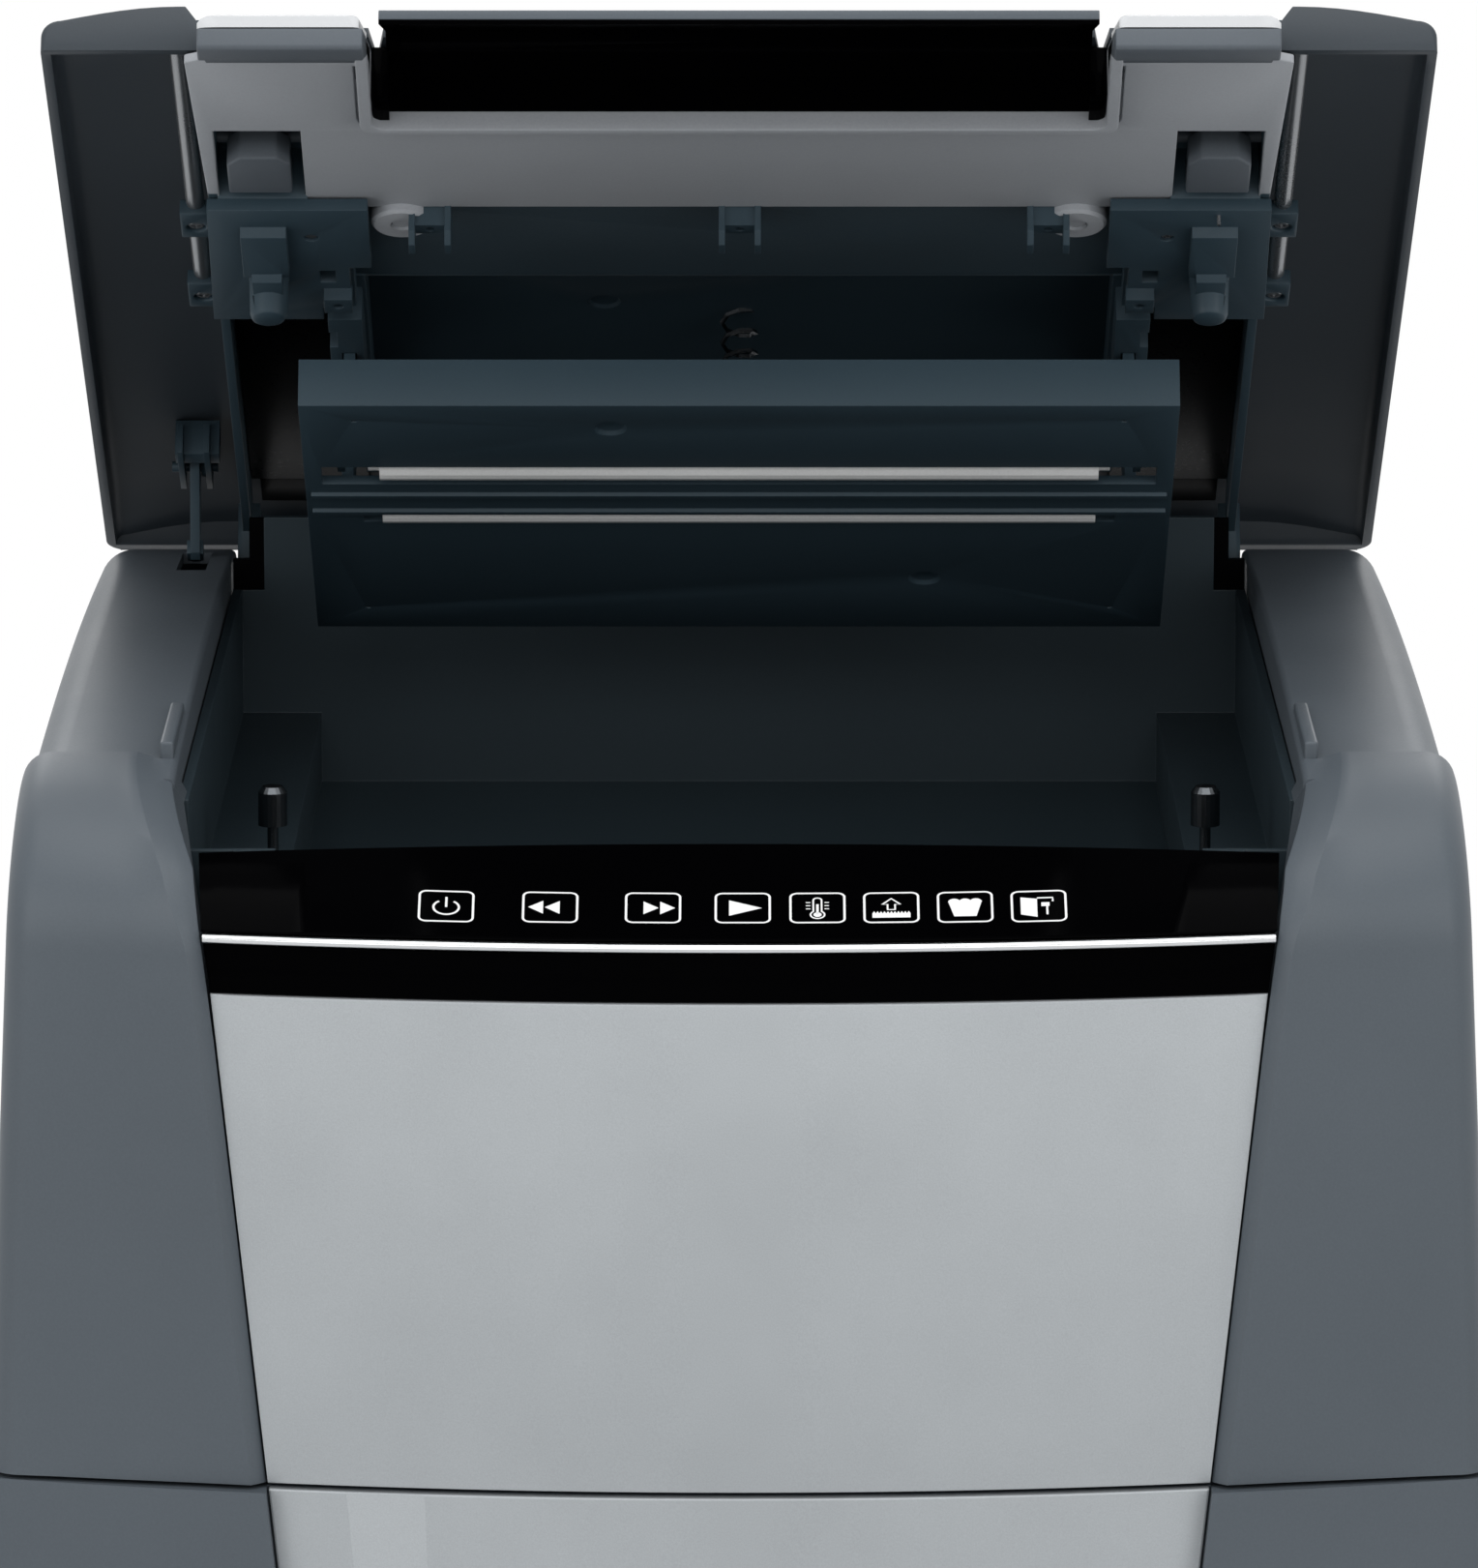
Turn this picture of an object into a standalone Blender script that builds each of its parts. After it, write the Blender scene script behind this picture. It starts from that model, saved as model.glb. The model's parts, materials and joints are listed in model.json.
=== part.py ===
"""Auto-feed paper shredder on castors, with its lid held open.

Units are millimetres in the dimensions below and metres in the meshes.
X runs to the right, Y to the back, Z up; the origin is on the floor under the middle.
"""
import math

import bmesh
import bpy
from mathutils import Matrix, Vector

MM = 0.001

# ---------------------------------------------------------------- driving dimensions
GAP = 0.3                  # gap between pieces that touch
WALL = 3.0                 # wall of the main mouldings
SKIN = 2.5                 # wall of the lid and the bin

BASE_HALF = 183.5          # half width at the seam and below
TOP_HALF = 176.0           # half width at the top of the columns
CHEEK_STEP = 1.5           # how far the cheeks lie inside the columns
REAR_Y = 195.0             # back edge of the housings
FRONT_Y = -198.5           # silver front, on the centre line
FRONT_RADIUS = 700.0       # plan radius of the front
COLUMN_PROUD = 4.5         # columns stand in front of the silver front

SEAM_Z = 387.0             # seam between cabinet and head
SEAM_GAP = 1.2
DOOR_TOP_Z = 509.0         # top of the silver front
BAND_TOP_Z = 521.2         # top of the black band
PANEL_FRONT_Z = 524.5      # front edge of the touch panel
PANEL_TOP_Y = -158.0       # back edge of the touch panel
PANEL_TOP_Z = 538.0
PANEL_CROWN = 2.2          # rise of its back edge on the centre line
STRIP_PROUD = 2.1          # chrome strip in front of the band
COLUMN_CREASE_Z = 519.0    # where a column starts to roll back
COLUMN_TOP_Y = -123.0
COLUMN_TOP_Z = 556.0
COLUMN_BACK_Y = -137.0     # back wall of a column
EDGE_SEAM = 115.0          # half width between the columns at the seam
EDGE_SLOPE = 0.1066        # how fast it widens with height
EDGE_PANEL = 132.0         # half width between the columns at the panel's back edge
EDGE_TOP = 141.0           # half width between the columns at their top
CHEEK_IN = 138.0           # inner face of a cheek
CHEEK_FRONT_Z = 554.0
CHEEK_RISE = 4.0           # arch of the cheek's top
CHEEK_WALL_Z = 480.0       # the cheek's inner wall ends here
HOLLOW_DROP = 5.0          # the cheek's hollow runs out under the seam
HOLLOW_REAR_Z = 537.0

TRAY_BOTTOM_Z = 490.0
TRAY_FLOOR = 3.0
TRAY_TOP_Z = 546.0
TRAY_LEDGE_Z = 512.0       # ledges beside the paper well
TRAY_BACK_Y = 157.0
TRAY_RISE_Z = 566.0        # its back wall closes the gap under the open lid
TRAY_RISE_HALF = 129.0
WELL_HALF = 113.8          # half width of the paper well
WELL_END_GAP = 2.5

THROAT_Y = 7.0             # plane in which paper goes down
THROAT_HALF = 112.0
THROAT_GAP = 10.0

HINGE_Y = 178.0
HINGE_Z = 528.0
LID_OPEN = math.radians(34.0)
LID_HALF = 174.5
LID_RIM_Z = 559.3          # rim of the closed lid
LID_FRONT_Y = -119.5
LID_REAR_Y = 181.0
LID_TOP_Z = 576.0
LID_CROWN = 2.8            # fall of the lid's top towards its sides
LID_FLAT_HALF = 140.0      # the top is flat between these
LID_LIP_Y = -157.5         # lower front edge of the closed lid
LID_LIP_Z = 541.5
TRIM_FRONT_Z = 549.6
TRIM_SLOPE = math.radians(27.0)
TRIM_LENGTH = 50.0
TRIM_THICK = 2.2
TRIM_HALF = 133.4
WINDOW_HALF = 89.0
WINDOW_BACK_Y = -86.3      # back of the recess round the window
U_PLATE_Z = 556.0          # underside of the inner frame
U_PLATE_HALF = 137.8
U_PLATE_BACK_Y = -36.3
LATCH_IN = 111.0           # inner side of a latch opening
LATCH_OUT = 134.5
LATCH_FRONT_Y = -80.2

PRESS_HALF = 112.4
PRESS_FRONT_Y = -36.0
PRESS_LENGTH = 141.0
PRESS_Z = 500.0            # underside of the closed press plate
PRESS_DEEP = 13.0
PRESS_ROLLER_R = 4.0
PRESS_ROLLER_HALF = 92.9
PRESS_ROLLER_PITCH = 27.0
AXLE_R = 1.5

CHASSIS_X = 122.0          # inner face of a chassis plate
CHASSIS_THICK = 3.0
GEAR_MODULE = 1.9          # pitch diameter over teeth
TOOTH_TIP = 0.75           # tooth height over the pitch circle
TOOTH_ROOT = 1.15
CUTTER_TEETH = 20
CUTTER_R = 21.0
CUTTER_SHAFT_R = 7.0
DISC_WIDTH = 8.0
DISC_PITCH = 18.0
DISC_COUNT = 12
FEED_TEETH = 11
FEED_NIP = 0.75            # from a feed roller to the middle of the nip
FEED_SHAFT_R = 4.0
IDLER_TEETH = 10
PINION_TEETH = 12
DRIVE_TEETH = 40
MOTOR_CLEAR = 2.4          # between the motor and the cutting discs
MOTOR_LENGTH = 84.0
GEAR_WIDTH = 7.0

BIN_HALF = 172.0
BIN_FRONT_Y = -150.2
BIN_BACK_Y = 185.0
BIN_BOTTOM_Z = 60.0
BIN_TOP_Z = 368.0
SPLIT_Y = -150.0           # where the bin's fascia meets the cabinet
GRIP_HALF = 45.0
GRIP_LOW_Z = 318.0
GRIP_HIGH_Z = 345.0
GRIP_DEEP = 22.0

CASTOR_X = 150.0
CASTOR_FRONT_Y = -118.0
CASTOR_REAR_Y = 162.0
WHEEL_R = 17.5
WHEEL_WIDTH = 16.0
CASTOR_TRAIL = 12.0
CASTOR_HEAD = 10.0         # from the top of a wheel to the cabinet

INLET_X = 130.0
INLET_Z = 412.0
SWITCH_X = 158.0

# ---------------------------------------------------------------- derived dimensions
FLOOR_CLEAR = 2 * WHEEL_R + CASTOR_HEAD    # underside of the cabinet
HEAD_Z = SEAM_Z + SEAM_GAP / 2
CABINET_TOP_Z = SEAM_Z - SEAM_GAP / 2
HEAD_BASE_Z = HEAD_Z + 0.4
HEAD_BASE_TOP_Z = HEAD_BASE_Z + 4.0
WELL_FLOOR_Z = TRAY_BOTTOM_Z + TRAY_FLOOR
PRESS_BACK_Y = PRESS_FRONT_Y + PRESS_LENGTH
CUTTER_SPACING = GEAR_MODULE * CUTTER_TEETH
FEED_SPACING = GEAR_MODULE * FEED_TEETH
FEED_R = FEED_SPACING / 2 - FEED_NIP
CUTTER_YS = (THROAT_Y - CUTTER_SPACING / 2, THROAT_Y + CUTTER_SPACING / 2)
FEED_YS = (THROAT_Y - FEED_SPACING / 2, THROAT_Y + FEED_SPACING / 2)
FEED_Z = TRAY_BOTTOM_Z - FEED_SPACING / 2 - TOOTH_TIP - 0.8
IDLER_TO_CUTTER = GEAR_MODULE * (CUTTER_TEETH + IDLER_TEETH) / 2
IDLER_TO_FEED = GEAR_MODULE * (FEED_TEETH + IDLER_TEETH) / 2
IDLER_Z = FEED_Z - math.sqrt(IDLER_TO_FEED ** 2 - (CUTTER_YS[1] - FEED_YS[1]) ** 2)
IDLER_AT = (CUTTER_YS[1], IDLER_Z)
CUTTER_Z = IDLER_Z - IDLER_TO_CUTTER
MOTOR_SPACING = GEAR_MODULE * (DRIVE_TEETH + PINION_TEETH) / 2
MOTOR_Y = CUTTER_YS[1] + MOTOR_SPACING
MOTOR_R = MOTOR_SPACING - CUTTER_R - MOTOR_CLEAR
CHASSIS_OUT = CHASSIS_X + CHASSIS_THICK
GEAR_X = CHASSIS_OUT + 2.0
DRIVE_GEAR_X = CHEEK_IN + 4.0
ROLLER_YS = (THROAT_Y, THROAT_Y + PRESS_ROLLER_PITCH)
PRESS_ROLLER_Z = PRESS_Z + PRESS_ROLLER_R - 1.0

AXES = {"X": (1, 2, 0), "Y": (0, 2, 1), "Z": (0, 1, 2)}
tools = {}                 # cutters and additions that belong to each object


def edge_half(z):
    """Half width between the columns at height z."""
    panel_low = EDGE_SEAM + EDGE_SLOPE * (DOOR_TOP_Z - SEAM_Z)
    if z <= DOOR_TOP_Z:
        return EDGE_SEAM + EDGE_SLOPE * (z - SEAM_Z)
    if z <= PANEL_TOP_Z:
        share = (z - DOOR_TOP_Z) / (PANEL_TOP_Z - DOOR_TOP_Z)
        return panel_low + share * (EDGE_PANEL - panel_low)
    share = (z - PANEL_TOP_Z) / (COLUMN_TOP_Z - PANEL_TOP_Z)
    return EDGE_PANEL + share * (EDGE_TOP - EDGE_PANEL)


def side_half(z):
    """Half width of the body at height z."""
    share = max(0.0, (z - SEAM_Z) / (COLUMN_TOP_Z - SEAM_Z))
    return BASE_HALF + share * (TOP_HALF - BASE_HALF)


def front_y(x, behind=0.0):
    """The silver front's Y at a place across the machine."""
    return FRONT_Y + x * x / (2 * FRONT_RADIUS) + behind


# ---------------------------------------------------------------- materials
def material(name, colour, roughness, metallic=0.0):
    made = bpy.data.materials.new(name)
    made.use_nodes = True
    shader = made.node_tree.nodes["Principled BSDF"]
    shader.inputs["Base Color"].default_value = (*colour, 1.0)
    shader.inputs["Roughness"].default_value = roughness
    shader.inputs["Metallic"].default_value = metallic
    made.diffuse_color = (*colour, 1.0)
    return made


# ---------------------------------------------------------------- modelling helpers
def finish(name, mesh_data, look, smooth=False):
    """Turn a bmesh in millimetres into an object in metres."""
    bmesh.ops.recalc_face_normals(mesh_data, faces=mesh_data.faces)
    bmesh.ops.scale(mesh_data, vec=(MM, MM, MM), verts=mesh_data.verts)
    mesh = bpy.data.meshes.new(name)
    mesh_data.to_mesh(mesh)
    mesh_data.free()
    made = bpy.data.objects.new(name, mesh)
    bpy.context.scene.collection.objects.link(made)
    mesh.materials.append(look)
    if smooth:
        mesh.shade_smooth()
        mesh.set_sharp_from_angle(angle=math.radians(35))
    tools[name] = []
    return made


def loft(name, rings, look, smooth=False):
    """A closed solid through rings of points, each ring with the same count."""
    data = bmesh.new()
    rows = [[data.verts.new(point) for point in ring] for ring in rings]
    count = len(rows[0])
    for low, high in zip(rows, rows[1:]):
        for i in range(count):
            j = (i + 1) % count
            data.faces.new((low[i], low[j], high[j], high[i]))
    data.faces.new(rows[0])
    data.faces.new(rows[-1])
    return finish(name, data, look, smooth)


def prism(name, axis, outline, low, high, look, smooth=False):
    """An outline extruded along an axis. It lies in the other two axes, in X, Y, Z order."""
    first, second, along = AXES[axis]
    rings = []
    for level in (low, high):
        ring = []
        for u, v in outline:
            point = [0.0, 0.0, 0.0]
            point[first], point[second], point[along] = u, v, level
            ring.append(point)
        rings.append(ring)
    return loft(name, rings, look, smooth)


def block(name, x, y, z, look):
    """A box from three (low, high) pairs."""
    outline = [(x[0], y[0]), (x[1], y[0]), (x[1], y[1]), (x[0], y[1])]
    return prism(name, "Z", outline, z[0], z[1], look)


def circle(centre, radius, sides):
    return [(centre[0] + radius * math.cos(math.tau * i / sides),
             centre[1] + radius * math.sin(math.tau * i / sides)) for i in range(sides)]


def rod(name, axis, centre, radius, low, high, look, sides=16):
    return prism(name, axis, circle(centre, radius, sides), low, high, look, smooth=True)


def turned(name, axis, centre, steps, look, sides=16):
    """A stepped shaft: steps are (position, radius) pairs along the axis."""
    first, second, along = AXES[axis]
    rings = []
    for level, radius in steps:
        ring = []
        for u, v in circle(centre, radius, sides):
            point = [0.0, 0.0, 0.0]
            point[first], point[second], point[along] = u, v, level
            ring.append(point)
        rings.append(ring)
    return loft(name, rings, look, smooth=True)


def boolean(target, tool, operation):
    step = target.modifiers.new(operation.lower(), "BOOLEAN")
    step.operation = operation
    step.object = tool
    step.solver = "EXACT"
    tool.hide_render = True
    tool.display_type = "WIRE"
    tools[target.name].append(tool)
    return target


def cut(target, *cutters):
    for cutter in cutters:
        boolean(target, cutter, "DIFFERENCE")
    return target


def unite(target, *pieces):
    for piece in pieces:
        boolean(target, piece, "UNION")
    return target


def pivot(name, y, z, x=0.0, parent=None):
    """An empty on a joint's axis."""
    empty = bpy.data.objects.new(name, None)
    empty["at"] = (x * MM, y * MM, z * MM)
    empty.location = empty["at"]
    if parent is not None:
        empty.parent = parent
        empty.location = Vector(empty["at"]) - Vector(parent["at"])
    bpy.context.scene.collection.objects.link(empty)
    return empty


def carry(empty, *pieces):
    """Hang pieces, with the cutters they use, on a pivot."""
    for piece in pieces:
        if piece.parent is None:
            piece.data.transform(Matrix.Translation(-Vector(empty["at"])))
            piece.parent = empty
        carry(empty, *tools[piece.name])


def mirrored(side, low, high):
    """A (low, high) pair across the machine, for the right (1) or the left (-1)."""
    return (low, high) if side > 0 else (-high, -low)


# ---------------------------------------------------------------- looks
def make_looks():
    return {
        "dark": material("dark_plastic", (0.075, 0.088, 0.098), 0.45),
        "inner": material("inner_plastic", (0.022, 0.030, 0.035), 0.5),
        "plate": material("plate_plastic", (0.13, 0.135, 0.14), 0.5),
        "silver": material("silver_paint", (0.37, 0.39, 0.40), 0.35, 0.3),
        "black": material("black_gloss", (0.004, 0.004, 0.005), 0.08),
        "chrome": material("chrome", (0.75, 0.75, 0.76), 0.15, 1.0),
        "steel": material("steel", (0.45, 0.45, 0.46), 0.3, 1.0),
        "white": material("white_roller", (0.62, 0.62, 0.60), 0.5),
        "rubber": material("rubber", (0.02, 0.02, 0.02), 0.8),
        "board": material("circuit_board", (0.02, 0.10, 0.05), 0.5),
    }


# ---------------------------------------------------------------- head: housings and covers
def cheek_top(y):
    share = (y - COLUMN_TOP_Y) / (HINGE_Y - COLUMN_TOP_Y)
    return CHEEK_FRONT_Z - 1.4 * share + 4 * CHEEK_RISE * share * (1 - share)


def column_ring(side, share, inset=0.0):
    """One section of a column, from its inner edge (share 0) to its side (share 1)."""
    mid_x = EDGE_PANEL + share * (BASE_HALF - EDGE_PANEL)
    front = front_y(mid_x) - COLUMN_PROUD
    points = [(front, HEAD_Z), (front, COLUMN_CREASE_Z)]
    for i in range(1, 7):
        angle = math.pi / 2 * i / 6
        y = COLUMN_TOP_Y - (COLUMN_TOP_Y - front) * math.cos(angle)
        points.append((y, COLUMN_CREASE_Z + (COLUMN_TOP_Z - COLUMN_CREASE_Z) * math.sin(angle)))
    points += [(COLUMN_TOP_Y, CHEEK_FRONT_Z - 8), (COLUMN_BACK_Y, CHEEK_FRONT_Z - 8), (COLUMN_BACK_Y, HEAD_Z)]
    ring = []
    for y, z in points:
        x = edge_half(z) + share * (side_half(z) - edge_half(z))
        ring.append((side * x, y, z))
    return ring


def cheek_ring(side, outer):
    """One side of the cheek box: its inner face, or its outer face."""
    front = COLUMN_BACK_Y - WALL
    points = [(front, HEAD_Z), (front, CHEEK_FRONT_Z - 1.5)]
    steps = 8
    for i in range(steps + 1):
        y = COLUMN_TOP_Y + (HINGE_Y - COLUMN_TOP_Y) * i / steps
        points.append((y, cheek_top(y)))
    points += [(REAR_Y - 5, 548.0), (REAR_Y, 540.0), (REAR_Y, HEAD_Z)]
    return [(side * (side_half(z) - CHEEK_STEP if outer else CHEEK_IN), y, z) for y, z in points]


def hollow_half(z):
    """Half width of the cheek box's hollow, whose side is straight from its foot to its shoulder."""
    foot = HEAD_Z - HOLLOW_DROP
    shoulder = HOLLOW_REAR_Z
    share = (z - foot) / (shoulder - foot)
    return side_half(foot) + share * (side_half(shoulder) - side_half(foot)) - CHEEK_STEP - WALL


def cavity_ring(side, outer):
    """The hollow of the cheek box."""
    front = COLUMN_BACK_Y - WALL
    low = HEAD_Z - HOLLOW_DROP
    points = [(front, low), (front, CHEEK_FRONT_Z - 1.5 - WALL)]
    steps = 4
    for i in range(steps + 1):
        y = COLUMN_TOP_Y + (HINGE_Y - COLUMN_TOP_Y) * i / steps
        points.append((y, cheek_top(y) - WALL))
    points += [(REAR_Y - 8, 544.0), (REAR_Y + 2, HOLLOW_REAR_Z), (REAR_Y + 2, low)]
    return [(side * (side_half(z) - CHEEK_STEP - WALL if outer else CHEEK_IN + WALL), y, z)
            for y, z in points]


def column_hollow_ring(side, share):
    """The hollow of a column, open at the bottom."""
    mid_x = EDGE_PANEL + share * (BASE_HALF - EDGE_PANEL)
    front = front_y(mid_x) - COLUMN_PROUD + WALL
    top = COLUMN_CREASE_Z - 4
    ring = []
    for y, z in ((front, HEAD_Z - 5), (front, top), (COLUMN_BACK_Y - WALL, top), (COLUMN_BACK_Y - WALL, HEAD_Z - 5)):
        low = edge_half(z) + WALL
        high = side_half(z) - WALL
        ring.append((side * (low + share * (high - low)), y, z))
    return ring


def make_housing(side, looks):
    name = "right_housing" if side > 0 else "left_housing"
    column = loft(name, [column_ring(side, share) for share in (0, 0.3, 0.65, 1)], looks["dark"], smooth=True)
    cheek = loft(name + "_cheek", [cheek_ring(side, False), cheek_ring(side, True)], looks["dark"])
    hollow = loft(name + "_hollow", [cavity_ring(side, False), cavity_ring(side, True)], looks["dark"])
    column_hollow = loft(name + "_column_hollow", [column_hollow_ring(side, share) for share in (0, 0.5, 1)],
                         looks["dark"])
    opening = block(name + "_opening", mirrored(side, CHEEK_IN - 1, CHEEK_IN + WALL + 1),
                    (COLUMN_BACK_Y + 0.5, REAR_Y + 2), (HEAD_Z - 5, CHEEK_WALL_Z), looks["dark"])
    pin_hole = rod(name + "_pin_hole", "X", (HINGE_Y, HINGE_Z), 3.0 + GAP,
                   *mirrored(side, CHEEK_IN - 1, CHEEK_IN + WALL + 1), looks["dark"])
    unite(column, cheek)
    cut(column, hollow, column_hollow, opening, pin_hole)
    if side < 0:
        slot = block("interlock_slot", (-152.0, -144.0), (136.0, 173.0), (540.0, 562.0), looks["dark"])
        cut(column, slot)
    return column


def make_rear_cover(looks):
    top = 540.0
    low = HEAD_Z + GAP
    low_half = side_half(low) - CHEEK_STEP - 0.2
    top_half = side_half(top) - CHEEK_STEP - 1.0
    notch_half = CHEEK_IN - 0.2
    outline = [(-low_half, low), (low_half, low), (top_half, top), (notch_half, top), (notch_half, 530.0),
               (-notch_half, 530.0), (-notch_half, top), (-top_half, top)]
    cover = prism("rear_cover", "Y", outline, REAR_Y + GAP, REAR_Y + GAP + WALL, looks["dark"])
    vents = []
    for side in (-1, 1):
        for i in range(7):
            z = 448.0 + 10.0 * i
            vents.append(block("vent_%d_%d" % (side + 1, i), mirrored(side, 25.0, 105.0),
                               (REAR_Y - 1, REAR_Y + 5), (z, z + 4.0), looks["dark"]))
    module = block("inlet_hole", (INLET_X - 13 - GAP, SWITCH_X + 7 + GAP), (REAR_Y - 1, REAR_Y + 5),
                   (INLET_Z - 10 - GAP, INLET_Z + 10 + GAP), looks["dark"])
    return cut(cover, *vents, module)


def make_mains(looks):
    """The mains module: a shrouded socket beside the well of the rocker switch."""
    inlet = block("power_inlet", (INLET_X - 13, INLET_X + 13), (REAR_Y - 16, REAR_Y + 4.2),
                  (INLET_Z - 10, INLET_Z + 10), looks["inner"])
    cut(inlet, block("inlet_socket", (INLET_X - 10.5, INLET_X + 10.5), (REAR_Y - 12, REAR_Y + 6),
                     (INLET_Z - 7.5, INLET_Z + 7.5), looks["inner"]))
    pins = [block("inlet_pin_%d" % i, (INLET_X + dx - 1.2, INLET_X + dx + 1.2), (REAR_Y - 13, REAR_Y + 1),
                  (INLET_Z + dz - 2, INLET_Z + dz + 2), looks["steel"])
            for i, (dx, dz) in enumerate(((-6, -2), (6, -2), (0, 3)))]
    unite(inlet, *pins)
    unite(inlet, block("switch_frame", (INLET_X + 12, SWITCH_X + 7), (REAR_Y - 14, REAR_Y + 4.2),
                       (INLET_Z - 10, INLET_Z + 10), looks["inner"]))
    cut(inlet, block("switch_well", (SWITCH_X - 5.2, SWITCH_X + 5.2), (REAR_Y - 8, REAR_Y + 6),
                     (INLET_Z - 8.4, INLET_Z + 8.4), looks["inner"]))
    rocker_outline = [(REAR_Y - 3.5, INLET_Z - 7.0), (REAR_Y + 3.2, INLET_Z - 7.2), (REAR_Y + 2.4, INLET_Z),
                      (REAR_Y + 5.0, INLET_Z + 7.2), (REAR_Y - 3.5, INLET_Z + 7.0)]
    rocker = prism("switch_rocker", "X", rocker_outline, SWITCH_X - 4.9, SWITCH_X + 4.9, looks["black"])
    carry(pivot("switch_axis", REAR_Y - 3.5, INLET_Z), rocker)


def make_paper_tray(looks):
    half = CHEEK_IN - 0.4
    front_half = 124.0
    back_of_column = COLUMN_BACK_Y + 0.5
    outline = [(-front_half, PANEL_TOP_Y + 0.6), (front_half, PANEL_TOP_Y + 0.6), (front_half, back_of_column),
               (half, back_of_column), (half, TRAY_BACK_Y), (-half, TRAY_BACK_Y), (-half, back_of_column),
               (-front_half, back_of_column)]
    tray = prism("paper_tray", "Z", outline, TRAY_BOTTOM_Z, TRAY_TOP_Z, looks["inner"])
    well = block("paper_well", (-WELL_HALF, WELL_HALF), (PANEL_TOP_Y + 3.6, TRAY_BACK_Y - WALL),
                 (WELL_FLOOR_Z, TRAY_TOP_Z + 5), looks["inner"])
    ledge = block("tray_ledge", (-half + SKIN, half - SKIN), (back_of_column + 2.5, TRAY_BACK_Y - WALL),
                  (TRAY_LEDGE_Z, TRAY_TOP_Z + 5), looks["inner"])
    front = block("tray_front", (-half - 1, half + 1), (PANEL_TOP_Y - 1, back_of_column + 3),
                  (PANEL_TOP_Z - 4.0, TRAY_TOP_Z + 5), looks["inner"])
    throat = block("throat", (-THROAT_HALF, THROAT_HALF), (THROAT_Y - THROAT_GAP / 2, THROAT_Y + THROAT_GAP / 2),
                   (TRAY_BOTTOM_Z - 5, WELL_FLOOR_Z + 5), looks["inner"])
    cut(tray, well, ledge, front, throat)
    unite(tray, block("tray_rise", (-TRAY_RISE_HALF, TRAY_RISE_HALF), (TRAY_BACK_Y - WALL, TRAY_BACK_Y),
                      (TRAY_TOP_Z - 4, TRAY_RISE_Z), looks["inner"]))
    for side in (-1, 1):
        underside = block("tray_relief_%d" % (side + 1), mirrored(side, WELL_HALF + SKIN, half - SKIN),
                          (back_of_column + 3, TRAY_BACK_Y - WALL), (TRAY_BOTTOM_Z - 5, TRAY_LEDGE_Z - SKIN),
                          looks["inner"])
        cut(tray, underside)


def make_lock_post(side, looks):
    name = "lock_post_right" if side > 0 else "lock_post_left"
    foot = TRAY_LEDGE_Z + GAP
    steps = [(foot, 3.2), (foot + 2.5, 3.2), (foot + 2.5, 1.4), (foot + 12.0, 1.4), (foot + 12.0, 3.7),
             (foot + 20.5, 3.7), (foot + 22.0, 2.6)]
    turned(name, "Z", (side * 117.8, -58.0), steps, looks["steel"], sides=20)


def across(name, low_z, high_z, front, back, half_low, half_high, look, steps=12, crown=0.0):
    """A plate that follows the front's curve between two heights."""
    rings = []
    for i in range(steps + 1):
        share = -1 + 2 * i / steps
        x_low = share * half_low
        x_high = share * half_high
        rise = crown * (1 - share * share)
        rings.append([(x_low, front_y(x_low, front), low_z), (x_high, front_y(x_high, front), high_z + rise),
                      (x_high, front_y(x_high, back), high_z + rise), (x_low, front_y(x_low, back), low_z)])
    return loft(name, rings, look, smooth=True)


def make_front(looks):
    gap = 0.5
    low = HEAD_Z + 0.1
    across("upper_front_panel", low, DOOR_TOP_Z, 0.0, WALL, edge_half(low) - gap, edge_half(DOOR_TOP_Z) - gap,
           looks["silver"])
    band_low = DOOR_TOP_Z + GAP
    across("lower_trim_band", band_low, BAND_TOP_Z, 0.4, 0.4 + WALL, edge_half(band_low) - gap,
           edge_half(BAND_TOP_Z) - gap, looks["black"])
    strip_low = BAND_TOP_Z + GAP
    strip_high = PANEL_FRONT_Z - 0.4
    rings = []
    steps = 12
    for i in range(steps + 1):
        x = (-1 + 2 * i / steps) * (edge_half(strip_low) - gap)
        ring = [(x, front_y(x, WALL), strip_low), (x, front_y(x, WALL), strip_high)]
        for j in range(5):
            angle = math.pi * j / 4
            ring.append((x, front_y(x, -STRIP_PROUD * math.sin(angle)),
                         (strip_low + strip_high) / 2 + (strip_high - strip_low) / 2 * math.cos(angle)))
        rings.append(ring)
    loft("chrome_strip", rings, looks["chrome"], smooth=True)

    rings = []
    for i in range(steps + 1):
        share = -1 + 2 * i / steps
        x_back = share * (EDGE_PANEL - gap - 0.1)
        x_front = share * (edge_half(PANEL_FRONT_Z) - gap)
        back_z = PANEL_TOP_Z + PANEL_CROWN * (1 - share * share)
        front = front_y(x_front)
        rings.append([(x_front, front, PANEL_FRONT_Z - 0.1), (x_front, front, PANEL_FRONT_Z + 0.6),
                      (x_back, PANEL_TOP_Y, back_z), (x_back, PANEL_TOP_Y, back_z - WALL - 0.5),
                      (x_front, front + WALL, PANEL_FRONT_Z - 0.1)])
    loft("control_panel", rings, looks["black"], smooth=True)


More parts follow.
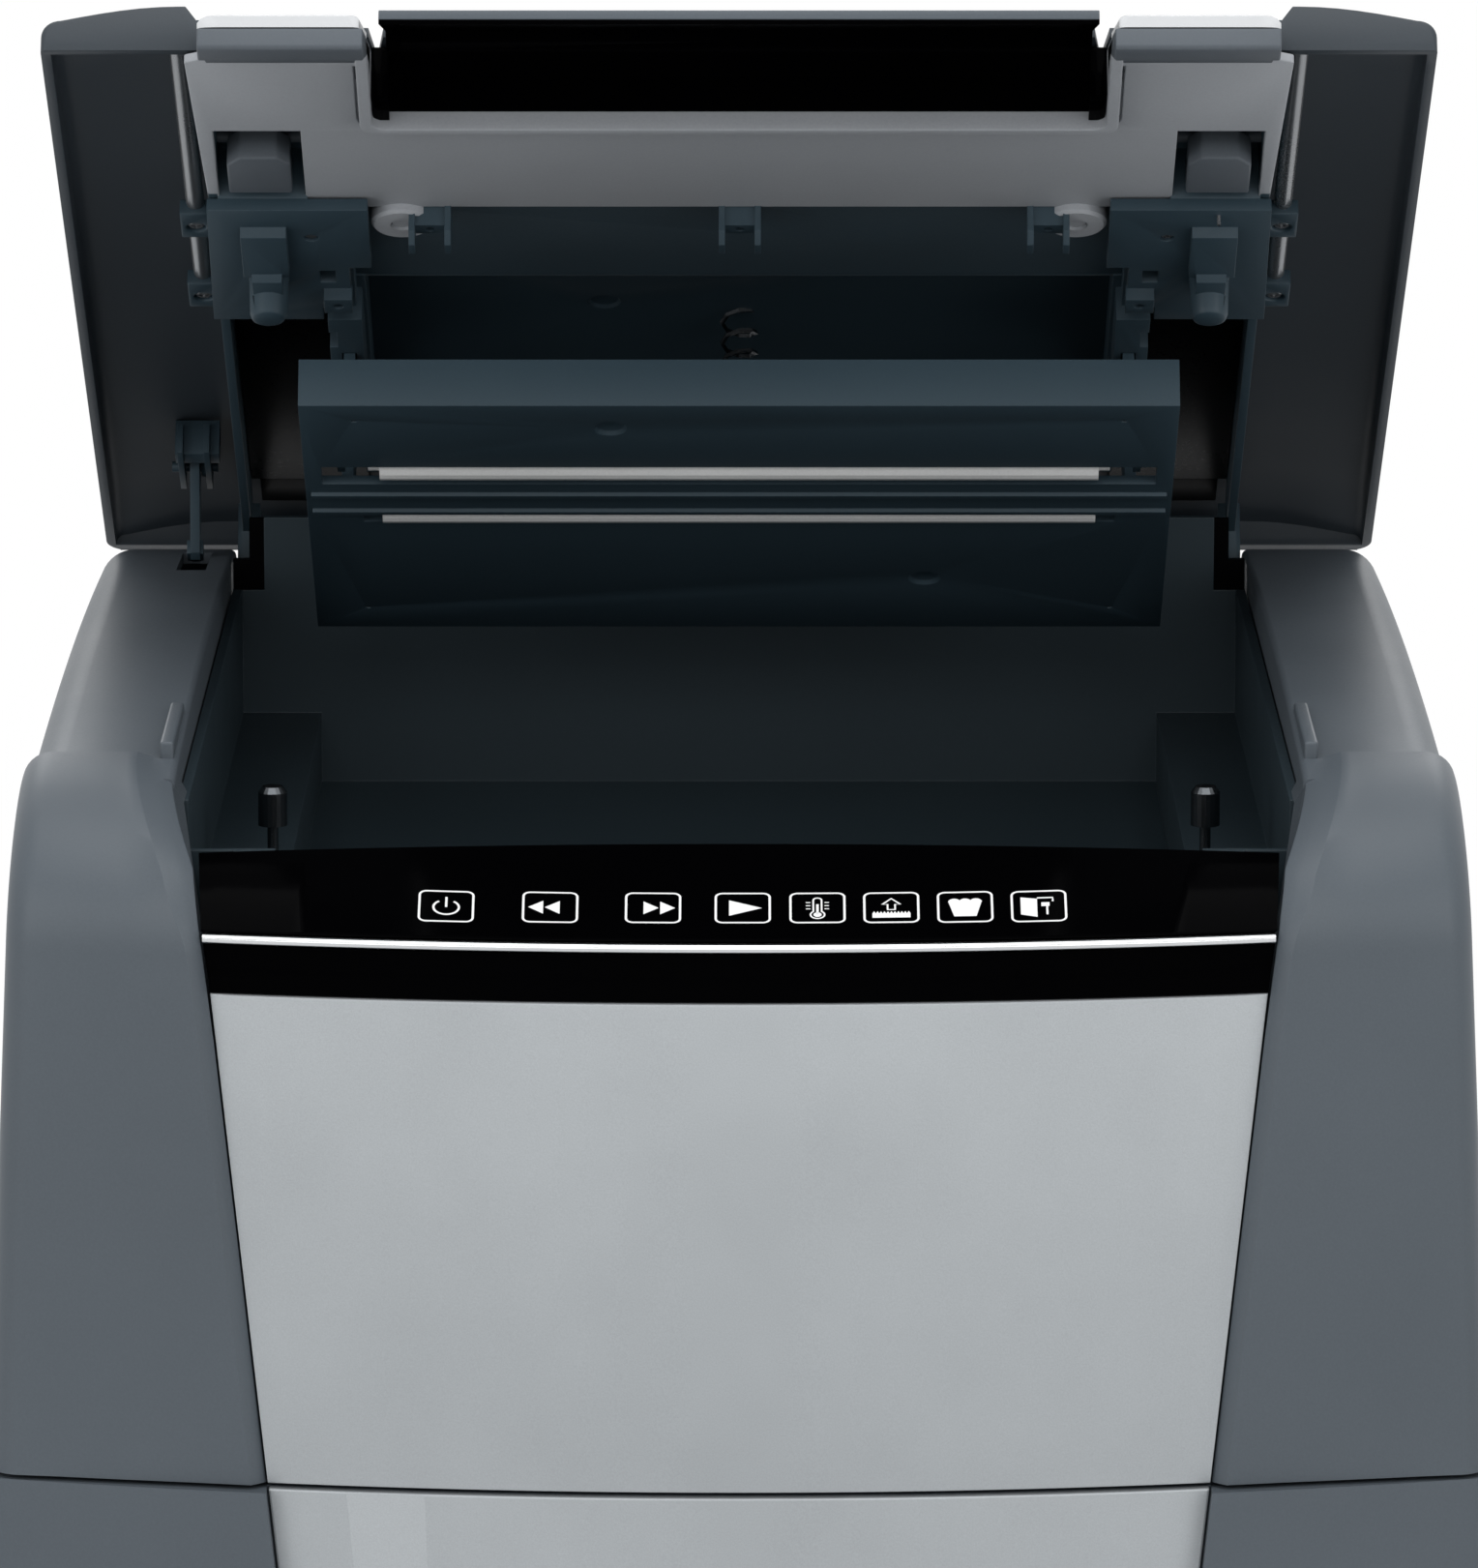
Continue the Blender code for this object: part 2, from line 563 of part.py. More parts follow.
def make_head_base(looks):
    front_half = edge_half(HEAD_Z) - 1.0
    half = min(side_half(HEAD_BASE_TOP_Z) - CHEEK_STEP - WALL - GAP, hollow_half(HEAD_BASE_TOP_Z) - GAP / 3)
    back_of_column = COLUMN_BACK_Y + 0.5
    front = []
    for i in range(9):
        x = front_half * (-1 + i / 4)
        front.append((x, front_y(x, WALL + GAP)))
    outline = front + [(front_half, back_of_column), (half, back_of_column), (half, REAR_Y - GAP),
                       (-half, REAR_Y - GAP), (-half, back_of_column), (-front_half, back_of_column)]
    base = prism("head_base", "Z", outline, HEAD_BASE_Z, HEAD_BASE_TOP_Z, looks["inner"])
    cut(base, block("shred_opening", (-CHASSIS_X + 3, CHASSIS_X - 3),
                    (CUTTER_YS[0] - CUTTER_R - 6, CUTTER_YS[1] + CUTTER_R + 6),
                    (HEAD_BASE_Z - 5, HEAD_BASE_TOP_Z + 5), looks["inner"]),
        block("drive_gear_slot", (DRIVE_GEAR_X - 2, DRIVE_GEAR_X + GEAR_WIDTH + 2),
              (CUTTER_YS[1] - 16, CUTTER_YS[1] + 16), (HEAD_BASE_Z - 5, HEAD_BASE_TOP_Z + 5), looks["inner"]))


# ---------------------------------------------------------------- mechanism
def make_chassis(side, looks):
    name = "chassis_right" if side > 0 else "chassis_left"
    x = mirrored(side, CHASSIS_X, CHASSIS_OUT)
    hole_x = mirrored(side, CHASSIS_X - 1, CHASSIS_OUT + 1)
    outline = [(CUTTER_YS[0] - 34, HEAD_BASE_TOP_Z + GAP), (MOTOR_Y + 34, HEAD_BASE_TOP_Z + GAP),
               (MOTOR_Y + 34, CUTTER_Z + 32), (CUTTER_YS[1] + 26, TRAY_BOTTOM_Z - GAP),
               (CUTTER_YS[0] - 14, TRAY_BOTTOM_Z - GAP), (CUTTER_YS[0] - 34, CUTTER_Z + 26)]
    plate = prism(name, "X", outline, *x, looks["steel"])
    holes = [rod("%s_hole_%d" % (name, i), "X", (y, CUTTER_Z), CUTTER_SHAFT_R + GAP, *hole_x, looks["steel"])
             for i, y in enumerate(CUTTER_YS)]
    holes += [rod("%s_feed_%d" % (name, i), "X", (y, FEED_Z), FEED_SHAFT_R + GAP, *hole_x, looks["steel"])
              for i, y in enumerate(FEED_YS)]
    if side > 0:
        holes.append(rod("motor_hole", "X", (MOTOR_Y, CUTTER_Z), 5.0, *hole_x, looks["steel"]))
        holes.append(rod("idler_hole", "X", IDLER_AT, 2.5 + GAP, *hole_x, looks["steel"]))
    return cut(plate, *holes)


def gear_outline(centre, teeth, phase):
    """Teeth with room to roll past their neighbour's."""
    radius = GEAR_MODULE * teeth / 2
    points = []
    for i in range(teeth):
        start = phase + math.tau * i / teeth
        for offset, height in ((-0.27, -TOOTH_ROOT), (-0.13, TOOTH_TIP), (0.13, TOOTH_TIP), (0.27, -TOOTH_ROOT)):
            angle = start + offset * math.tau / teeth
            points.append((centre[0] + (radius + height) * math.cos(angle),
                           centre[1] + (radius + height) * math.sin(angle)))
    return points


def mesh_phase(centre, teeth, phase, other, other_teeth):
    """The other gear's phase that puts its gaps against this gear's teeth."""
    angle = math.atan2(other[1] - centre[1], other[0] - centre[0])
    return angle + math.pi - math.pi / other_teeth + (angle - phase) * teeth / other_teeth


def gear(name, centre, teeth, phase, x, bore, look):
    made = prism(name, "X", gear_outline(centre, teeth, phase), x, x + GEAR_WIDTH, look)
    return cut(made, rod(name + "_bore", "X", centre, bore, x - 1, x + GEAR_WIDTH + 1, look))


def cutter_shaft(name, y, offset, far_end, looks):
    """A shaft with its cutting discs turned from one piece."""
    start = -CHASSIS_X + 6.0 + offset
    steps = [(-CHASSIS_OUT - 3, CUTTER_SHAFT_R)]
    for i in range(DISC_COUNT):
        low = start + DISC_PITCH * i
        steps += [(low, CUTTER_SHAFT_R), (low, CUTTER_R), (low + DISC_WIDTH, CUTTER_R),
                  (low + DISC_WIDTH, CUTTER_SHAFT_R)]
    steps.append((far_end, CUTTER_SHAFT_R))
    return turned(name, "X", (y, CUTTER_Z), steps, looks["steel"], sides=20)


def make_mechanism(looks):
    for side in (-1, 1):
        make_chassis(side, looks)
    front, rear = CUTTER_YS
    axle_bore = CUTTER_SHAFT_R + GAP
    gear_out = GEAR_X + GEAR_WIDTH
    drive_out = DRIVE_GEAR_X + GEAR_WIDTH
    cutter_front = cutter_shaft("cutter_front", front, 0.0, gear_out + 2, looks)
    cutter_rear = cutter_shaft("cutter_rear", rear, DISC_PITCH / 2, drive_out + 2, looks)
    rear_phase = 0.0
    front_phase = mesh_phase((rear, CUTTER_Z), CUTTER_TEETH, rear_phase, (front, CUTTER_Z), CUTTER_TEETH)
    gear_front = gear("cutter_gear_front", (front, CUTTER_Z), CUTTER_TEETH, front_phase, GEAR_X, axle_bore,
                      looks["steel"])
    compound = prism("drive_gear", "X", gear_outline((rear, CUTTER_Z), DRIVE_TEETH, 0.0), DRIVE_GEAR_X, drive_out,
                     looks["steel"])
    unite(compound, prism("cutter_gear_rear", "X", gear_outline((rear, CUTTER_Z), CUTTER_TEETH, rear_phase),
                          GEAR_X, gear_out, looks["steel"]),
          rod("drive_hub", "X", (rear, CUTTER_Z), 12.0, gear_out - 1, DRIVE_GEAR_X + 1, looks["steel"]))
    cut(compound, rod("drive_bore", "X", (rear, CUTTER_Z), axle_bore, GEAR_X - 1, drive_out + 1, looks["steel"]))
    pinion_phase = mesh_phase((rear, CUTTER_Z), DRIVE_TEETH, 0.0, (MOTOR_Y, CUTTER_Z), PINION_TEETH)
    pinion = prism("motor_pinion", "X", gear_outline((MOTOR_Y, CUTTER_Z), PINION_TEETH, pinion_phase),
                   DRIVE_GEAR_X, drive_out, looks["steel"])
    unite(pinion, rod("motor_shaft", "X", (MOTOR_Y, CUTTER_Z), 4.0, CHASSIS_X - 4, DRIVE_GEAR_X + 1,
                      looks["steel"]))
    idler_phase = mesh_phase((rear, CUTTER_Z), CUTTER_TEETH, rear_phase, IDLER_AT, IDLER_TEETH)
    idler = prism("idler_gear", "X", gear_outline(IDLER_AT, IDLER_TEETH, idler_phase), GEAR_X, gear_out,
                  looks["white"])
    unite(idler, rod("idler_axle", "X", IDLER_AT, 2.5, CHASSIS_X + 0.5, gear_out + 2, looks["steel"]))
    feed_rear_phase = mesh_phase(IDLER_AT, IDLER_TEETH, idler_phase, (FEED_YS[1], FEED_Z), FEED_TEETH)
    feed_front_phase = mesh_phase((FEED_YS[1], FEED_Z), FEED_TEETH, feed_rear_phase, (FEED_YS[0], FEED_Z),
                                  FEED_TEETH)
    carry(pivot("cutter_front_axis", front, CUTTER_Z), cutter_front, gear_front)
    carry(pivot("cutter_rear_axis", rear, CUTTER_Z), cutter_rear, compound)
    carry(pivot("pinion_axis", MOTOR_Y, CUTTER_Z), pinion)
    carry(pivot("idler_axis", *IDLER_AT), idler)
    for place, y, phase in (("front", FEED_YS[0], feed_front_phase), ("rear", FEED_YS[1], feed_rear_phase)):
        steps = [(-CHASSIS_OUT - 2, FEED_SHAFT_R), (-THROAT_HALF, FEED_SHAFT_R), (-THROAT_HALF, FEED_R),
                 (THROAT_HALF, FEED_R), (THROAT_HALF, FEED_SHAFT_R), (gear_out + 1, FEED_SHAFT_R)]
        roller = turned("feed_roller_" + place, "X", (y, FEED_Z), steps, looks["rubber"], sides=20)
        wheel = gear("feed_gear_" + place, (y, FEED_Z), FEED_TEETH, phase, GEAR_X, FEED_SHAFT_R + GAP,
                     looks["white"])
        carry(pivot("feed_%s_axis" % place, y, FEED_Z), roller, wheel)
    motor = turned("drive_motor", "X", (MOTOR_Y, CUTTER_Z),
                   [(CHASSIS_X - GAP - MOTOR_LENGTH, MOTOR_R - 4), (CHASSIS_X - GAP - MOTOR_LENGTH + 4, MOTOR_R),
                    (CHASSIS_X - GAP - 6, MOTOR_R), (CHASSIS_X - GAP, MOTOR_R - 6)], looks["steel"], sides=24)
    cut(motor, rod("motor_bore", "X", (MOTOR_Y, CUTTER_Z), 4.0 + GAP, CHASSIS_X - 6, CHASSIS_X + 1,
                   looks["steel"]))
    for place, side in (("front", -1), ("rear", 1)):
        y = THROAT_Y + side * 2.5
        low = CUTTER_Z + CUTTER_R + 1.0
        high = FEED_Z - FEED_R - 1.5
        outline = [(y, low), (y + side * 2.0, low), (y + side * 2.0, high - 4.5), (y + side * 6.0, high),
                   (y + side * 4.0, high), (y, high - 4.0)]
        prism("throat_guide_" + place, "X", outline, -CHASSIS_X + GAP, CHASSIS_X - GAP, looks["steel"])
    board_x = -154.0
    board = block("main_board", (board_x, board_x + 1.6), (-60.0, 80.0), (HEAD_BASE_TOP_Z + GAP, 470.0),
                  looks["board"])
    unite(board, block("transformer", (board_x + 1, board_x + 20), (-40.0, -12.0), (405.0, 432.0), looks["inner"]),
          block("heatsink", (board_x + 1, board_x + 12), (20.0, 62.0), (410.0, 440.0), looks["inner"]))
    return board


# ---------------------------------------------------------------- cabinet and bin
def make_cabinet(looks):
    cabinet = block("base_cabinet", (-BASE_HALF, BASE_HALF), (SPLIT_Y, REAR_Y + GAP + WALL),
                    (FLOOR_CLEAR, CABINET_TOP_Z), looks["dark"])
    cut(cabinet, block("cabinet_hollow", (-BASE_HALF + WALL, BASE_HALF - WALL), (SPLIT_Y - 1, REAR_Y + GAP),
                       (FLOOR_CLEAR + 4, CABINET_TOP_Z + 5), looks["dark"]))
    pads = []
    for side in (-1, 1):
        for y in (-128.0, 168.0):
            label = "%d_%d" % (side + 1, y)
            pads.append(block("seat_" + label, mirrored(side, BIN_HALF + 2, BASE_HALF - WALL + 1),
                              (y, y + 24), (372.0, CABINET_TOP_Z - 1), looks["dark"]))
            pads.append(block("seat_top_" + label, mirrored(side, BIN_HALF + 2, BASE_HALF - WALL - 3),
                              (y, y + 24), (374.0, HEAD_BASE_Z - GAP), looks["dark"]))
    unite(cabinet, *pads)
    for side in (-1, 1):
        name = "bin_runner_right" if side > 0 else "bin_runner_left"
        block(name, mirrored(side, BIN_HALF + 0.8, BASE_HALF - WALL - GAP), (SPLIT_Y + 8, BIN_BACK_Y + 5),
              (72.0, 84.0), looks["steel"])


def fascia_ring(x):
    front = front_y(x) - COLUMN_PROUD
    low = FLOOR_CLEAR + 3
    high = CABINET_TOP_Z
    return [(x, front, low), (x, front, high), (x, SPLIT_Y - 0.5, high), (x, SPLIT_Y - 0.5, low)]


def make_bin(looks):
    bin_box = block("bin", (-BIN_HALF, BIN_HALF), (BIN_FRONT_Y, BIN_BACK_Y), (BIN_BOTTOM_Z, BIN_TOP_Z),
                    looks["inner"])
    cut(bin_box, block("bin_hollow", (-BIN_HALF + SKIN, BIN_HALF - SKIN), (BIN_FRONT_Y + SKIN, BIN_BACK_Y - SKIN),
                       (BIN_BOTTOM_Z + SKIN, BIN_TOP_Z + 5), looks["inner"]))
    for side in (-1, 1):
        unite(bin_box, block("bin_rail_%d" % (side + 1), mirrored(side, BIN_HALF - 1, BASE_HALF - WALL - 1),
                             (SPLIT_Y + 10, BIN_BACK_Y), (84.0 + GAP, 89.0), looks["inner"]))
    stations = [BASE_HALF * (-1 + i / 8) for i in range(17)]
    fascia = loft("bin_fascia", [fascia_ring(x) for x in stations], looks["dark"], smooth=True)
    hollow_rings = []
    for x in stations:
        x_in = x * (BASE_HALF - WALL) / BASE_HALF
        front = front_y(x_in, WALL * 2 + 0.5)
        hollow_rings.append([(x_in, front, FLOOR_CLEAR + 6), (x_in, front, CABINET_TOP_Z - WALL),
                             (x_in, SPLIT_Y + 1, CABINET_TOP_Z - WALL), (x_in, SPLIT_Y + 1, FLOOR_CLEAR + 6)])
    low = FLOOR_CLEAR + 3.4
    high = CABINET_TOP_Z
    recess_rings = []
    for i in range(13):
        share = -1 + i / 6
        x_low = share * edge_half(low - 2)
        x_high = share * edge_half(high + 2)
        recess_rings.append([(x_low, front_y(x_low, -20), low - 2), (x_high, front_y(x_high, -20), high + 2),
                             (x_high, front_y(x_high, WALL + GAP), high + 2),
                             (x_low, front_y(x_low, WALL + GAP), low - 2)])
    grip_x = (-GRIP_HALF, GRIP_HALF)
    grip_hole = block("fascia_grip_hole", (grip_x[0] - 1, grip_x[1] + 1), (-215.0, -170.0),
                      (GRIP_LOW_Z - 1, GRIP_HIGH_Z + 1), looks["dark"])
    cut(fascia, loft("fascia_hollow", hollow_rings, looks["dark"]), loft("fascia_recess", recess_rings, looks["dark"]),
        grip_hole)
    front = across("bin_front", low, high, 0.0, WALL, edge_half(low) - 0.5, edge_half(high) - 0.5,
                   looks["silver"])
    cut(front, block("front_grip_hole", grip_x, (-215.0, -170.0), (GRIP_LOW_Z, GRIP_HIGH_Z), looks["silver"]))
    cup_front = FRONT_Y + 2.0
    grip = block("bin_grip", (grip_x[0] + GAP, grip_x[1] - GAP), (cup_front, FRONT_Y + GRIP_DEEP),
                 (GRIP_LOW_Z + GAP, GRIP_HIGH_Z - GAP), looks["inner"])
    cut(grip, block("grip_hollow", (grip_x[0] + GAP + 2, grip_x[1] - GAP - 2), (cup_front - 5, FRONT_Y + GRIP_DEEP - 2),
                    (GRIP_LOW_Z + GAP + 2, GRIP_HIGH_Z - GAP - 2), looks["inner"]))
    carry(pivot("bin_slide", BIN_BACK_Y, BIN_BOTTOM_Z), bin_box, fascia, front, grip)


def make_castor(place, x, y, looks):
    """A swivelling fork with its axle, and a wheel on it."""
    plate_top = FLOOR_CLEAR - GAP
    wheel_y = y + CASTOR_TRAIL
    fork = block("castor_fork_" + place, (x - 12.0, x + 12.0), (y - 12.0, y + 22.0), (plate_top - 4.0, plate_top),
                 looks["inner"])
    arm_in = WHEEL_WIDTH / 2 + 1.2
    for side in (-1, 1):
        outline = [(y - 9.0, plate_top - 1), (wheel_y - 5.0, WHEEL_R - 5.0), (wheel_y + 5.0, WHEEL_R - 5.0),
                   (y + 20.0, plate_top - 1)]
        low, high = mirrored(side, arm_in, arm_in + 2.4)
        unite(fork, prism("castor_arm_%s_%d" % (place, side + 1), "X", outline, x + low, x + high, looks["inner"]))
    unite(fork, rod("castor_axle_" + place, "X", (wheel_y, WHEEL_R), 2.5, x - arm_in - 1, x + arm_in + 1,
                    looks["steel"], sides=12))
    half = WHEEL_WIDTH / 2
    wheel = turned("castor_wheel_" + place, "X", (wheel_y, WHEEL_R),
                   [(x - half, WHEEL_R - 1.5), (x - half + 1.5, WHEEL_R), (x + half - 1.5, WHEEL_R),
                    (x + half, WHEEL_R - 1.5)], looks["rubber"], sides=32)
    cut(wheel, rod("wheel_bore_" + place, "X", (wheel_y, WHEEL_R), 2.5 + GAP, x - half - 1, x + half + 1,
                   looks["rubber"], sides=12))
    swivel = pivot("castor_swivel_" + place, y, FLOOR_CLEAR, x)
    carry(swivel, fork)
    carry(pivot("castor_axis_" + place, wheel_y, WHEEL_R, x, swivel), wheel)


# ---------------------------------------------------------------- lid, modelled closed
def lid_top(y):
    """Height of the closed lid's top at a place along it."""
    share = (y - LID_FRONT_Y) / (LID_REAR_Y - LID_FRONT_Y)
    return LID_TOP_Z - 4.5 * (1 - share) ** 6 - 1.0 * share - 11.0 * share ** 14


def lid_ring(y, half, low, drop):
    """A section across the lid, with a flat middle and falling sides."""
    top = lid_top(y) - drop
    edge = max(low + 1.5, top - LID_CROWN)
    shoulder = max(low + 0.7, edge - 5.0)
    return [(-half, y, low), (-half, y, shoulder), (-half + 6, y, edge), (-LID_FLAT_HALF, y, top),
            (LID_FLAT_HALF, y, top), (half - 6, y, edge), (half, y, shoulder), (half, y, low)]


def lid_stations(front, rear):
    shares = (0.0, 0.05, 0.15, 0.4, 0.65, 0.85, 0.95, 1.0)
    return [front + (rear - front) * share for share in shares]


def slope_z(y, drop=0.0):
    """Height of the trim's sloping face, or of a face that lies drop under it."""
    return TRIM_FRONT_Z + (y - LID_LIP_Y) * math.tan(TRIM_SLOPE) - drop / math.cos(TRIM_SLOPE)


def slope_outline(front, back, top, bottom):
    return [(front, slope_z(front, top)), (back, slope_z(back, top)), (back, slope_z(back, bottom)),
            (front, slope_z(front, bottom))]


def make_lid_shell(looks):
    shell = loft("lid_shell", [lid_ring(y, LID_HALF, LID_RIM_Z, 0.0) for y in lid_stations(LID_FRONT_Y, LID_REAR_Y)],
                 looks["dark"], smooth=True)
    hollow = loft("lid_hollow", [lid_ring(y, LID_HALF - SKIN, LID_RIM_Z - 5, SKIN)
                                 for y in lid_stations(LID_FRONT_Y + SKIN, LID_REAR_Y - SKIN)], looks["dark"])
    front_cut = block("lid_front_cut", (-TRIM_HALF - 0.4, TRIM_HALF + 0.4), (LID_FRONT_Y - 5, LID_FRONT_Y + 14),
                      (LID_RIM_Z - 10, LID_TOP_Z + 5), looks["dark"])
    return cut(shell, hollow, front_cut)


def make_inner_frame(looks):
    """The front lip, the flat frame round the window and the side walls with the hinge arms."""
    front = U_PLATE_Z
    under = TRIM_THICK + GAP
    frame = block("lid_inner_frame", (-U_PLATE_HALF, U_PLATE_HALF), (-125.0, U_PLATE_BACK_Y),
                  (front, front + SKIN), looks["plate"])
    top_y = LID_FRONT_Y + 13.0
    lip = [(LID_LIP_Y, LID_LIP_Z), (LID_LIP_Y, slope_z(LID_LIP_Y, under)), (top_y, slope_z(top_y, under)),
           (top_y, front + 1), (-125.0, front + 1), (-125.0, front), (-149.0, LID_LIP_Z)]
    pieces = []
    for side in (-1, 1):
        label = "_%d" % (side + 1)
        pieces.append(prism("lid_lip" + label, "X", lip, *mirrored(side, WINDOW_HALF + 4.6, TRIM_HALF), looks["plate"]))
        wall = [(U_PLATE_BACK_Y - 30, front), (LID_REAR_Y - 7, front), (LID_REAR_Y - 7, 560.5),
                (LID_REAR_Y - 30, 568.0), (U_PLATE_BACK_Y - 30, 568.0)]
        pieces.append(prism("lid_wall" + label, "X", wall, *mirrored(side, U_PLATE_HALF - SKIN, U_PLATE_HALF),
                            looks["plate"]))
        arm = [(HINGE_Y - 9, 560.0), (HINGE_Y - 8, HINGE_Z - 4), (HINGE_Y, HINGE_Z - 8), (HINGE_Y + 7, HINGE_Z - 4),
               (HINGE_Y - 4.5, 560.0)]
        pieces.append(prism("hinge_arm" + label, "X", arm, *mirrored(side, 131.5, U_PLATE_HALF - 0.4), looks["plate"]))
    cross = block("lid_cross_rib", (-U_PLATE_HALF + 1, U_PLATE_HALF - 1), (U_PLATE_BACK_Y - SKIN, U_PLATE_BACK_Y),
                  (front, 571.0), looks["plate"])
    rear = block("lid_rear_rib", (-U_PLATE_HALF + 1, U_PLATE_HALF - 1), (120.0, 120.0 + SKIN), (556.0, 571.0),
                 looks["plate"])
    unite(frame, *pieces, cross, rear)
    window = block("window_recess", (-WINDOW_HALF - 3.6, WINDOW_HALF + 3.6), (LID_LIP_Y - 5, WINDOW_BACK_Y),
                   (front - 30, LID_TOP_Z + 5), looks["plate"])
    cutters = [window]
    for side in (-1, 1):
        cutters.append(block("latch_opening_%d" % (side + 1), mirrored(side, LATCH_IN, LATCH_OUT),
                             (LATCH_FRONT_Y, U_PLATE_BACK_Y - SKIN - 0.5), (front - 5, 574.0), looks["plate"]))
        cutters.append(rod("hinge_bore_%d" % (side + 1), "X", (HINGE_Y, HINGE_Z), 3.0 + GAP,
                           *mirrored(side, 130.0, U_PLATE_HALF + 1), looks["plate"]))
    return cut(frame, *cutters)


def make_latch(side, lid, looks):
    """A spring catch in its housing."""
    label = "right" if side > 0 else "left"
    x_housing = mirrored(side, 97.5, 135.0)
    housing = block("latch_housing_" + label, x_housing, (-35.9, 26.0), (552.0, 555.0), looks["inner"])
    tab = block("latch_tab_" + label, mirrored(side, 115.5, 127.5), (-34.0, -10.0), (546.0, 553.0), looks["inner"])
    boss = rod("latch_boss_" + label, "Z", (side * 121.5, 12.0), 5.0, 538.0, 553.0, looks["inner"])
    stem = block("latch_stem_" + label, mirrored(side, 100.0, 110.0), (-30.0, 20.0), (554.0, 571.5), looks["inner"])
    bracket = block("press_bracket_" + label, mirrored(side, 97.5, 107.5), (19.0, 64.0), (548.0, 572.0),
                    looks["inner"])
    unite(housing, tab, boss, stem, bracket)
    cut(housing, block("press_bracket_slot_" + label, mirrored(side, 100.6, 104.4), (39.6, 60.4), (540.0, 569.0),
                       looks["inner"]))
    axle_z = U_PLATE_Z + SKIN + GAP + 1.6
    hook_outline = [(-72.0, 563.0), (-72.0, 549.0), (-62.0, 545.0), (-58.0, 549.0), (-62.0, 553.0), (-50.0, 563.0)]
    hook = prism("latch_hook_" + label, "X", hook_outline, *mirrored(side, 114.0, 131.0), looks["plate"])
    axle = rod("latch_axle_" + label, "X", (-60.0, axle_z), 1.6, *mirrored(side, LATCH_IN - 4, LATCH_OUT + 0.5),
               looks["steel"], sides=12)
    unite(hook, axle)
    carry(lid, housing)
    carry(pivot("latch_axis_" + label, -60.0, axle_z, 0.0, lid), hook)


def make_press_plate(lid, looks):
    slide = pivot("press_slide", THROAT_Y, PRESS_Z, 0.0, lid)
    plate = block("press_plate", (-PRESS_HALF, PRESS_HALF), (PRESS_FRONT_Y, PRESS_BACK_Y),
                  (PRESS_Z, PRESS_Z + PRESS_DEEP), looks["inner"])
    cut(plate, block("press_hollow", (-PRESS_HALF + SKIN, PRESS_HALF - SKIN),
                     (PRESS_FRONT_Y + SKIN, PRESS_BACK_Y - SKIN), (PRESS_Z + SKIN, PRESS_Z + PRESS_DEEP + 5),
                     looks["inner"]))
    for i, (y, wide) in enumerate(zip(ROLLER_YS, (109.0, 98.0))):
        slot = block("roller_slot_%d" % i, (-wide, wide), (y - PRESS_ROLLER_R - 1.2, y + PRESS_ROLLER_R + 1.2),
                     (PRESS_Z - 5, PRESS_Z + SKIN + 1), looks["inner"])
        cut(plate, slot)
        for side in (-1, 1):
            unite(plate, block("roller_bearing_%d_%d" % (i, side + 1),
                               mirrored(side, PRESS_ROLLER_HALF + 0.5, PRESS_ROLLER_HALF + 3.5),
                               (y - PRESS_ROLLER_R - 2.0, y + PRESS_ROLLER_R + 2.0),
                               (PRESS_Z + 0.4, PRESS_Z + 8.0), looks["inner"]))
        bore = rod("roller_bore_%d" % i, "X", (y, PRESS_ROLLER_Z), AXLE_R + GAP, -PRESS_ROLLER_HALF - 5,
                   PRESS_ROLLER_HALF + 5, looks["inner"], sides=12)
        cut(plate, bore)
    for side in (-1, 1):
        unite(plate, block("press_guide_%d" % (side + 1), mirrored(side, 101.0, 104.0), (40.0, 60.0),
                           (PRESS_Z + 1, 556.0), looks["inner"]))
    for place, y in zip(("front", "rear"), ROLLER_YS):
        body = PRESS_ROLLER_HALF
        steps = [(-body - 3.0, AXLE_R), (-body, AXLE_R), (-body, PRESS_ROLLER_R), (body, PRESS_ROLLER_R),
                 (body, AXLE_R), (body + 3.0, AXLE_R)]
        roller = turned("press_roller_" + place, "X", (y, PRESS_ROLLER_Z), steps, looks["white"], sides=16)
        carry(pivot("press_roller_axis_" + place, y, PRESS_ROLLER_Z, 0.0, slide), roller)
    carry(slide, plate)
    coils = []
    turns = 7
    spring_y = 61.0
    spring_low = 530.0
    spring_rise = lid_top(spring_y) - SKIN - GAP - 0.7 - spring_low
    for i in range(turns * 8 + 1):
        angle = math.tau * i / 8
        coils.append((4.5 * math.cos(angle), spring_y + 4.5 * math.sin(angle),
                      spring_low + spring_rise * i / (turns * 8)))
    curve = bpy.data.curves.new("press_spring", "CURVE")
    curve.dimensions = "3D"
    curve.bevel_depth = 0.7 * MM
    curve.bevel_resolution = 0
    curve.use_fill_caps = True
    line = curve.splines.new("POLY")
    line.points.add(len(coils) - 1)
    for point, (x, y, z) in zip(line.points, coils):
        at = Vector((x * MM, y * MM, z * MM)) - Vector(lid["at"])
        point.co = (*at, 1.0)
    spring = bpy.data.objects.new("press_spring", curve)
    curve.materials.append(looks["steel"])
    bpy.context.scene.collection.objects.link(spring)
    spring.parent = lid


